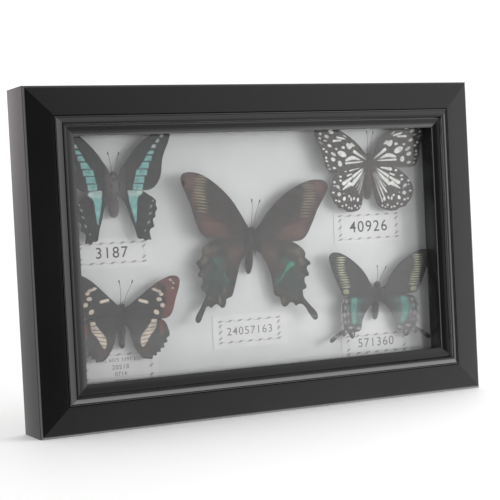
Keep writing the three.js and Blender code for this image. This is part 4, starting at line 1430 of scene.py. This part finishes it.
BODY_FINISHES = {
    "bluebottle": body_finish("bluebottle_body", (0.19, 0.17, 0.18), (0.3, 0.265, 0.28), (0.11, 0.095, 0.102)),
    "peacock": body_finish("peacock_body", (0.03, 0.024, 0.023), (0.058, 0.047, 0.044), (0.018, 0.014, 0.014)),
    "tiger": body_finish("tiger_body", (0.12, 0.085, 0.075), (0.20, 0.15, 0.135), (0.08, 0.055, 0.05)),
    "admiral": body_finish("admiral_body", (0.008, 0.007, 0.007), (0.018, 0.016, 0.015), (0.035, 0.032, 0.03)),
    "banded": body_finish("banded_body", (0.030, 0.027, 0.028), (0.06, 0.054, 0.054), (0.018, 0.017, 0.017)),
}
HAIR_FINISHES = {
    "bluebottle": hair_finish("bluebottle_hair", (0.15, 0.135, 0.14), (0.40, 0.365, 0.38)),
    "peacock": hair_finish("peacock_hair", (0.024, 0.020, 0.019), (0.085, 0.072, 0.066)),
    "tiger": hair_finish("tiger_hair", (0.06, 0.045, 0.04), (0.2, 0.16, 0.145)),
    "admiral": hair_finish("admiral_hair", (0.008, 0.007, 0.007), (0.03, 0.027, 0.025)),
    "banded": hair_finish("banded_hair", (0.015, 0.014, 0.013), (0.06, 0.055, 0.05)),
}


# Butterflies, assembled

FORE_MARGIN = {
    "bluebottle": (16, 22), "peacock": (18, 28), "tiger": (12, 20), "admiral": (15, 24), "banded": (12, 19),
}
HIND_MARGIN = {
    "bluebottle": (6, 23), "peacock": (6, 40), "tiger": (6, 20), "admiral": (5, 23), "banded": (5, 41),
}


def fur_rule(graph, given):
    """Bent tapering hairs, scattered over a surface and combed towards the tail"""
    scatter = graph.node("GeometryNodeDistributePointsOnFaces", inputs={
        "Mesh": given["Geometry"], "Density": given["Density"], "Seed": given["Seed"]})
    normal = scatter.other("Normal")
    comb = graph.node("ShaderNodeCombineXYZ", inputs={1: -given["Comb"]})
    aim = graph.node("ShaderNodeVectorMath", {"operation": "ADD"}, {0: normal, 1: comb})
    stray = graph.node("FunctionNodeRandomValue", {"data_type": "FLOAT_VECTOR"}, {
        0: (-0.35, -0.35, -0.35), 1: (0.35, 0.35, 0.35), "Seed": given["Seed"]})
    aim = graph.node("ShaderNodeVectorMath", {"operation": "ADD"}, {0: aim, 1: stray})
    turn = graph.node("FunctionNodeAlignRotationToVector", {"axis": "Z"}, {"Vector": aim})
    hair = graph.node("GeometryNodeMeshCone", inputs={
        "Vertices": 3, "Side Segments": 2, "Fill Segments": 1, "Radius Top": given["Thickness"] * 0.1,
        "Radius Bottom": given["Thickness"], "Depth": given["Length"]})
    place = graph.node("GeometryNodeInputPosition")
    height = graph.node("ShaderNodeSeparateXYZ", inputs={0: place}, output=2)
    share = height / given["Length"]
    bent = graph.node("ShaderNodeCombineXYZ", inputs={0: share * share * given["Length"] * 0.3})
    hair = graph.node("GeometryNodeSetPosition", inputs={"Geometry": hair, "Offset": bent})
    hair = graph.node("GeometryNodeStoreNamedAttribute", {"domain": "POINT"}, {
        "Geometry": hair, "Name": "along", "Value": share})
    size = graph.node("FunctionNodeRandomValue", inputs={2: 0.55, 3: 1.15, "Seed": given["Seed"]}, output=1)
    return graph.node("GeometryNodeInstanceOnPoints", inputs={
        "Points": scatter, "Instance": hair, "Rotation": turn, "Scale": size})


RING_PITCH = 1.75
LIMB_STEP = 0.35
TONGUE_STEPS = 60
TONGUE_PITCH = 0.052


def body_relief(kind):
    """Ringed abdomen, fuller thorax and a neck"""
    waist = kind["body"][4][0]

    def relief(y, angle):
        ring = math.cos((y - waist) * 2 * math.pi / RING_PITCH)
        below = eased(np.array(waist - y), 0, 1.2)
        lumpy = 0.03 * math.sin(3 * angle + y) + 0.02 * math.sin(7 * angle - 2 * y)
        return float(below) * 0.05 * min(ring, 0.4) + (1 - float(below)) * lumpy
    return relief


def butterfly_body(kind):
    name = kind["name"]
    depth_scale = BODY_HALF_DEPTH / max(radius for _, radius in kind["body"])
    points, faces = lathe(kind["body"], depth_scale, 70, 28, body_relief(kind))
    waist = kind["body"][4][0]
    along = points[:, 1] - waist
    bands = np.clip(np.cos(along * 2 * math.pi / RING_PITCH), 0, 1) ** 2 * (along < 0)
    return mesh_object(
        name + "_body", points, faces, BODY_FINISHES[name], attributes={"bands": ("FLOAT", bands)})


def feelers_and_legs(kind):
    """Clubbed feelers, folded legs, round eyes and a coiled tongue"""
    root, middle, tip = (np.array(p, float) for p in kind["antenna"])
    parts, eyes = [], []
    head = kind["body"][-2][0]
    lean = kind.get("lean", 0)
    for side in (-1, 1):
        line = smooth_path([
            (side * root[0], root[1] - 1.2, 0), (side * middle[0] + lean / 2, middle[1], 0.9),
            (side * tip[0] + lean, tip[1], 1.5), (side * (tip[0] + 0.35) + lean, tip[1] + 1.4, 1.4),
        ], False, LIMB_STEP)
        share = np.linspace(0, 1, len(line))
        parts.append(tube(line, 0.13 + 0.3 * np.exp(-((share - 0.95) / 0.055) ** 2), 8))
        for start, reach in ((1.6, 1.0), (-0.4, 1.1), (-2.4, 1.0)):
            leg = smooth_path([
                (side * 1.2, start, -1), (side * 4.4 * reach, start + 0.8, -1.3),
                (side * 5.6 * reach, start - 3, -2.5), (side * 5.0 * reach, start - 5.4, -3.0),
            ], False, LIMB_STEP)
            share = np.linspace(0, 1, len(leg))
            parts.append(tube(leg, 0.34 - 0.2 * share + 0.06 * np.cos(share * 9) ** 2, 7))
        parts.append(ball((side * 0.5, head + 0.9, 0.3), (0.35, 1.0, 0.4), 8, 10))
        eyes.append(ball((side * 1.25, head - 0.1, 0.35), (0.85, 1.0, 1.0), 14, 20))
    angles = np.linspace(0, 5 * math.pi, TONGUE_STEPS)
    spiral = TONGUE_PITCH * angles
    coil = np.stack([angles * 0, head + 0.6 + spiral * np.cos(angles), spiral * np.sin(angles) - 1.0], axis=1)
    parts.append(tube(coil, np.full(TONGUE_STEPS, 0.12), 6))
    return joined(parts), joined(eyes)


FUR = {"Density": 2.5e7, "Length": 1.1 * MM, "Thickness": 0.05 * MM, "Comb": 0.9}
WOOL = {"Density": 1.6e7, "Length": 1.9 * MM, "Thickness": 0.035 * MM, "Comb": 2.6}
WOOL_REACH = 7.5


def wing_base(mesh):
    """The part of a wing's front that carries long hair, next to the body and sparser away from it"""
    count = len(mesh.vertices) // 2
    reach = WOOL_REACH * np.random.default_rng(SEED).random(len(mesh.polygons)) ** 0.6
    points = np.empty(len(mesh.vertices) * 3)
    mesh.vertices.foreach_get("co", points)
    points = points.reshape(-1, 3) / MM
    faces = []
    for polygon in mesh.polygons:
        corners = polygon.vertices[:]
        if max(corners) < count and abs(points[list(corners), 0].mean()) < reach[polygon.index]:
            faces.append(corners)
    used = sorted({index for face in faces for index in face})
    place = {old: new for new, old in enumerate(used)}
    return points[used], [tuple(place[index] for index in face) for face in faces]


def butterfly(kind, marks):
    name = kind["name"]
    node = "butterfly_" + name
    slot = name + "_wings"
    fore_level = BODY_DEPTH - WING_DEPTH
    levels = {"fore": fore_level + 0.2, "hind": fore_level - HINDWING_DROP + 0.2}
    margins = {"fore": FORE_MARGIN[name], "hind": HIND_MARGIN[name]}
    hosts = []
    for pair in ("fore", "hind"):
        apex, tornus = (kind[pair][index] for index in margins[pair])
        for side, word in ((-1, "left"), (1, "right")):
            outline = kind.get(f"{word}_{pair}", kind[pair])
            root = (1.0, (outline[0][1] + outline[-1][1]) / 2)
            veins = vein_paths(outline, root, apex, tornus, pair == "hind")
            stretch = kind.get("stretch", {}).get((pair, side), 1)
            piece = wing(
                f"{name}_{pair}wing_{word}", outline, veins, marks(side)[pair], side,
                kind["turns"][pair, side], stretch, levels[pair], FINISHES[name], len(name) + side)
            hosts.append(wing_base(piece.data))
            keep(pinned(piece, kind), slot, node)
    twist = kind.get("body_turn", 0)
    body = butterfly_body(kind)
    fur = grow(
        link_object(name + "_fur", body.data.copy()), fur_rule,
        {**FUR, "Seed": len(name), "Material": HAIR_FINISHES[name]})
    wool_points, wool_faces = joined(hosts)
    wool = grow(
        mesh_object(name + "_wool", wool_points, wool_faces, HORN), fur_rule,
        {**WOOL, "Seed": len(name), "Material": HAIR_FINISHES[name]})
    keep(pinned(wool, kind), slot, node)
    (limb_points, limb_faces), (eye_points, eye_faces) = feelers_and_legs(kind)
    limbs = mesh_object(name + "_limbs", limb_points, limb_faces, HORN)
    eyes = mesh_object(name + "_eyes", eye_points, eye_faces, HORN)
    for piece in (body, fur, limbs, eyes):
        keep(pinned(piece, kind, twist), slot, node)


butterfly(BLUEBOTTLE, bluebottle_marks)
butterfly(PEACOCK, peacock_marks)
butterfly(TIGER, tiger_marks)
butterfly(ADMIRAL, admiral_marks)
butterfly(BANDED, banded_marks)


# Labels: paper, a leafy printed border and plain numbers

LABELS = {
    "bluebottle": {"border": (-121, -78, 103.5, 116), "faint": False, "lines": [("3187", -100, 109.7, 7.2)]},
    "peacock": {"border": (-27, 16, 46, 60), "faint": True, "lines": [("24057163", -5.5, 52.8, 5.4)]},
    "tiger": {"border": (67, 112, 109, 125), "faint": False, "lines": [("40926", 89.5, 116.8, 7.8)]},
    "admiral": {
        "border": (-121, -77, 27.8, 45), "faint": True,
        "lines": [("1842 6075 3391 5208", -98, 41.6, 2.3), ("20518", -98, 37, 3), ("0714", -98, 32.6, 2.6)]},
    "banded": {"border": (69, 114, 30, 42), "faint": True, "lines": [("571360", 91, 36.6, 6.2)]},
}
INK_RISE = 0.03
FIGURE_SCALE = 1.38
FIGURE_GROWTH = 0.03
FIGURE_SPACING = 1.16
LEAF_HALF = 2.0
LEAF_SLIMNESS = 0.32
LEAF_PITCH = 6.9
LEAF_SLANT = 16
SIDE_LEAF_PITCH = 4.2
SIDE_LEAF_SLANT = -50
CORNER_GAP = 2.8


def figures(text, cx, cz, height):
    """Plain numbers, drawn in the label's own plane"""
    curve = bpy.data.curves.new("figures", "FONT")
    curve.body = text
    curve.align_x = curve.align_y = "CENTER"
    curve.size = height * FIGURE_SCALE * MM
    curve.extrude = INK_RISE / 2 * MM
    curve.offset = FIGURE_GROWTH * MM
    curve.space_character = FIGURE_SPACING
    mesh = evaluated_mesh(link_object("figures", curve))
    mesh.transform(Matrix.Translation(Vector((cx, cz, 0)) * MM))
    return mesh


def border_rule(graph, given):
    """Slanted pointed leaves at an even pitch along lines, and the thin waved stem that joins them"""
    line = graph.node("GeometryNodeMeshToCurve", inputs={"Mesh": given["Geometry"]})
    spots = graph.node(
        "GeometryNodeResampleCurve", {"mode": "LENGTH"}, {"Curve": line, "Length": given["Pitch"]})
    leaf = graph.node("GeometryNodeMeshCylinder", inputs={
        "Vertices": 18, "Radius": given["Leaf"], "Depth": given["Rise"]})
    parts = graph.node("ShaderNodeSeparateXYZ", inputs={0: graph.node("GeometryNodeInputPosition")})
    across = parts.other(1)
    height = parts.other(2)
    share = parts / given["Leaf"]
    slim = (1.0 - share * share).math("MAXIMUM", 0.0).math("SQRT") * given["Slimness"]
    shape = graph.node("ShaderNodeCombineXYZ", inputs={0: parts, 1: across * slim, 2: height})
    leaf = graph.node("GeometryNodeSetPosition", inputs={"Geometry": leaf, "Position": shape})
    tangent = graph.node("GeometryNodeInputTangent")
    turn = graph.node(
        "FunctionNodeAlignRotationToVector", {"axis": "X", "pivot_axis": "Z"}, {"Vector": tangent})
    slant = graph.node("ShaderNodeCombineXYZ", inputs={2: given["Slant"]})
    turn = graph.node(
        "FunctionNodeRotateRotation", {"rotation_space": "LOCAL"}, {"Rotation": turn, "Rotate By": slant})
    leaves = graph.node("GeometryNodeInstanceOnPoints", inputs={
        "Points": spots, "Instance": leaf, "Rotation": turn})
    fine = graph.node("GeometryNodeResampleCurve", {"mode": "LENGTH"}, {
        "Curve": line, "Length": given["Pitch"] * 0.06})
    run = graph.node("GeometryNodeSplineParameter", output=1)
    wave = (run * (2 * math.pi) / given["Pitch"]).math("SINE") * given["Leaf"] * 0.24
    aside = graph.node("ShaderNodeVectorMath", {"operation": "CROSS_PRODUCT"}, {0: tangent, 1: (0, 0, -1)})
    sway = graph.node("ShaderNodeVectorMath", {"operation": "SCALE"}, {0: aside, "Scale": wave})
    stem = graph.node("GeometryNodeSetPosition", inputs={"Geometry": fine, "Offset": sway})
    thread = graph.node("GeometryNodeCurvePrimitiveQuadrilateral", inputs={
        "Width": given["Leaf"] * 0.1, "Height": given["Leaf"] * 0.1})
    stem = graph.node(
        "GeometryNodeCurveToMesh", inputs={"Curve": stem, "Profile Curve": thread, "Fill Caps": True})
    stem = graph.node("GeometryNodeTransform", inputs={"Geometry": stem, "Scale": (1, 1, 0.15)})
    both = graph.tree.nodes.new("GeometryNodeJoinGeometry")
    for part in (leaves, stem):
        graph.connect(both.inputs["Geometry"], part)
    return Wire(graph, both.outputs[0])


def leafy_lines(lines, pitch, slant):
    """Border leaves along lines in the label's own plane, given as pairs of ends"""
    mesh = bpy.data.meshes.new("leafy")
    points = [(x * MM, z * MM, 0) for ends in lines for x, z in ends]
    mesh.from_pydata(points, [(2 * i, 2 * i + 1) for i in range(len(lines))], [])
    piece = grow(link_object("leafy", mesh), border_rule, {
        "Pitch": pitch * MM, "Leaf": LEAF_HALF * MM, "Rise": INK_RISE * MM, "Slimness": LEAF_SLIMNESS,
        "Slant": math.radians(slant), "Material": BORDER_INK})
    made = piece.data
    bpy.data.objects.remove(piece)
    return made


def printed(name, meshes, depth, material):
    """Flat prints joined and laid on the label, facing forward"""
    work = bmesh.new()
    for mesh in meshes:
        work.from_mesh(mesh)
        bpy.data.meshes.remove(mesh)
    made = bpy.data.meshes.new(name)
    work.to_mesh(made)
    work.free()
    place = Matrix.Translation(Vector((0, depth_to_y(depth), 0)) * MM)
    made.transform(place @ Matrix.Rotation(math.pi / 2, 4, "X"))
    made.materials.clear()
    made.materials.append(material)
    return link_object(name, made)


def sheet(name, low, high, columns, rows, material):
    """A thin closed sheet across x and z, cut into a grid"""
    xs, zs = np.linspace(low[0], high[0], columns), np.linspace(low[2], high[2], rows)
    points = [(x, y, z) for y in (low[1], high[1]) for z in zs for x in xs]
    back = rows * columns
    faces = []
    for j in range(rows - 1):
        for i in range(columns - 1):
            a = j * columns + i
            face = (a, a + 1, a + columns + 1, a + columns)
            faces += [face, tuple(index + back for index in face[::-1])]
    rim = [*range(columns), *[j * columns + columns - 1 for j in range(1, rows)]]
    rim += [(rows - 1) * columns + i for i in range(columns - 2, -1, -1)]
    rim += [j * columns for j in range(rows - 2, 0, -1)]
    faces += [(b, a, a + back, b + back) for a, b in zip(rim, rim[1:] + rim[:1])]
    return mesh_object(name, points, faces, material, smooth=False)


def label(name, spec):
    node = "label_" + name
    low, high = node_box(node)
    keep(sheet(node + "_paper", low, high, 56, 24, PAPER), "label_paper", node)
    depth = low[1] - ARRIS_Y - INK_RISE / 2
    ink = FAINT_INK if spec["faint"] else INK
    numbers = [figures(*line) for line in spec["lines"]]
    keep(printed(node + "_numbers", numbers, depth, ink), "label_paper", node)
    left, right, bottom, top = spec["border"]
    across = [((left, top), (right, top)), ((left, bottom), (right, bottom))]
    low_end, high_end = bottom + CORNER_GAP, top - CORNER_GAP
    upward = [((left, low_end), (left, high_end)), ((right, low_end), (right, high_end))]
    leaves = [
        leafy_lines(across, LEAF_PITCH, LEAF_SLANT), leafy_lines(upward, SIDE_LEAF_PITCH, SIDE_LEAF_SLANT),
    ]
    keep(printed(node + "_border", leaves, depth, BORDER_INK), "label_paper", node)


for label_name, label_spec in LABELS.items():
    label(label_name, label_spec)


# Studio: a pale floor, two soft lamps to the right, and a surround

def add_lamp(name, place, aim, size, power):
    lamp = bpy.data.lights.new(name, "AREA")
    lamp.shape = "RECTANGLE"
    lamp.size, lamp.size_y = size
    lamp.energy = power
    holder = bpy.data.objects.new(name, lamp)
    holder.location = place
    holder.rotation_euler = (Vector(aim) - Vector(place)).to_track_quat("-Z", "Y").to_euler()
    holder.visible_glossy = False
    holder.visible_transmission = False
    bpy.context.scene.collection.objects.link(holder)


FLOOR_HALF = 6000


def add_floor():
    finish = Finish("floor", Specular_IOR_Level=0.2)
    cloud = finish.noise(3, detail=2)
    finish.set("Base Color", finish.mix(cloud, grey(0.93), grey(0.97)))
    finish.set("Roughness", cloud.smooth(0.3, 0.7, 0.6, 0.7))
    corners = [(x * FLOOR_HALF, y * FLOOR_HALF, 0) for x, y in ((-1, -1), (1, -1), (1, 1), (-1, 1))]
    floor = mesh_object("floor", corners, [(0, 1, 2, 3)], finish.material, smooth=False)
    floor.visible_glossy = False
    floor.visible_diffuse = False


def add_surround():
    """Dark to the front left and brighter to the right. Gloss alone mirrors a window and the bright floor."""
    world = bpy.data.worlds.new("studio")
    bpy.context.scene.world = world
    world.use_nodes = True
    sky = Graph(world.node_tree)
    parts = sky.node("ShaderNodeSeparateXYZ", inputs={0: sky.node("ShaderNodeTexCoord", output="Generated")})
    x = parts
    y = parts.other(1)
    z = parts.other(2)
    flat = (x * x + y * y).math("SQRT") + 0.0001
    sideways = x / flat
    front = sideways.smooth(0.1, 0.65, 0.14, 1.12) + sideways.smooth(0.6, 1.0, 0, 0.9)
    behind = sideways.smooth(-0.2, 0.4, 0.42, 1.1) + z.smooth(-0.1, 0.12, 0, 0.42)
    ring = front + (behind - front) * y.smooth(-0.1, 0.3)
    level = ring + (1.1 - ring) * z.smooth(0.35, 0.9)
    window = sideways.smooth(-0.85, -0.5, 2.6, 0) * z.smooth(0.75, 0.95, 1, 0) * y.smooth(-0.1, 0.2, 1, 0)
    window = window * z.smooth(-0.45, -0.25)
    from_floor = z.smooth(-0.55, -0.34, 1, 0) * y.smooth(0.05, 0.3, 1, 0)
    from_floor = from_floor * sideways.smooth(0.4, 0.7, 0.4, 2.1)
    gloss = sky.node("ShaderNodeLightPath", output="Is Glossy Ray")
    glint = sideways.smooth(0.3, 0.7, 0, 1.3) * y.smooth(0.05, 0.3) * z.smooth(-0.5, -0.3)
    low_dim = z.smooth(-0.4, 0.1, 0.35, 1)
    level = level * (low_dim + (1.0 - low_dim) * gloss) + (window + from_floor + glint) * gloss
    seen = sky.node("ShaderNodeLightPath", output="Is Camera Ray")
    level = level + (1.1 - level) * seen
    rosy = y.smooth(0.3, 0.8) * sideways.smooth(-0.3, 0.1, 1, 0) * z.smooth(-0.08, 0.1) * gloss
    background = Wire(sky, world.node_tree.nodes["Background"].outputs[0])
    sky.connect(background.socket.node.inputs["Color"], sky.mix(rosy, grey(1.0), (1.0, 0.89, 0.91)))
    sky.connect(background.socket.node.inputs["Strength"], level)


add_floor()
add_surround()
add_lamp("key", (0.55, -0.55, 0.14), (0, 0, 0.1), (0.5, 0.5), 3.8)
add_lamp("fill", (0.3, -0.6, 0.17), (0.03, 0, 0.13), (0.6, 0.2), 0.85)
bpy.context.scene.view_settings.view_transform = "Standard"
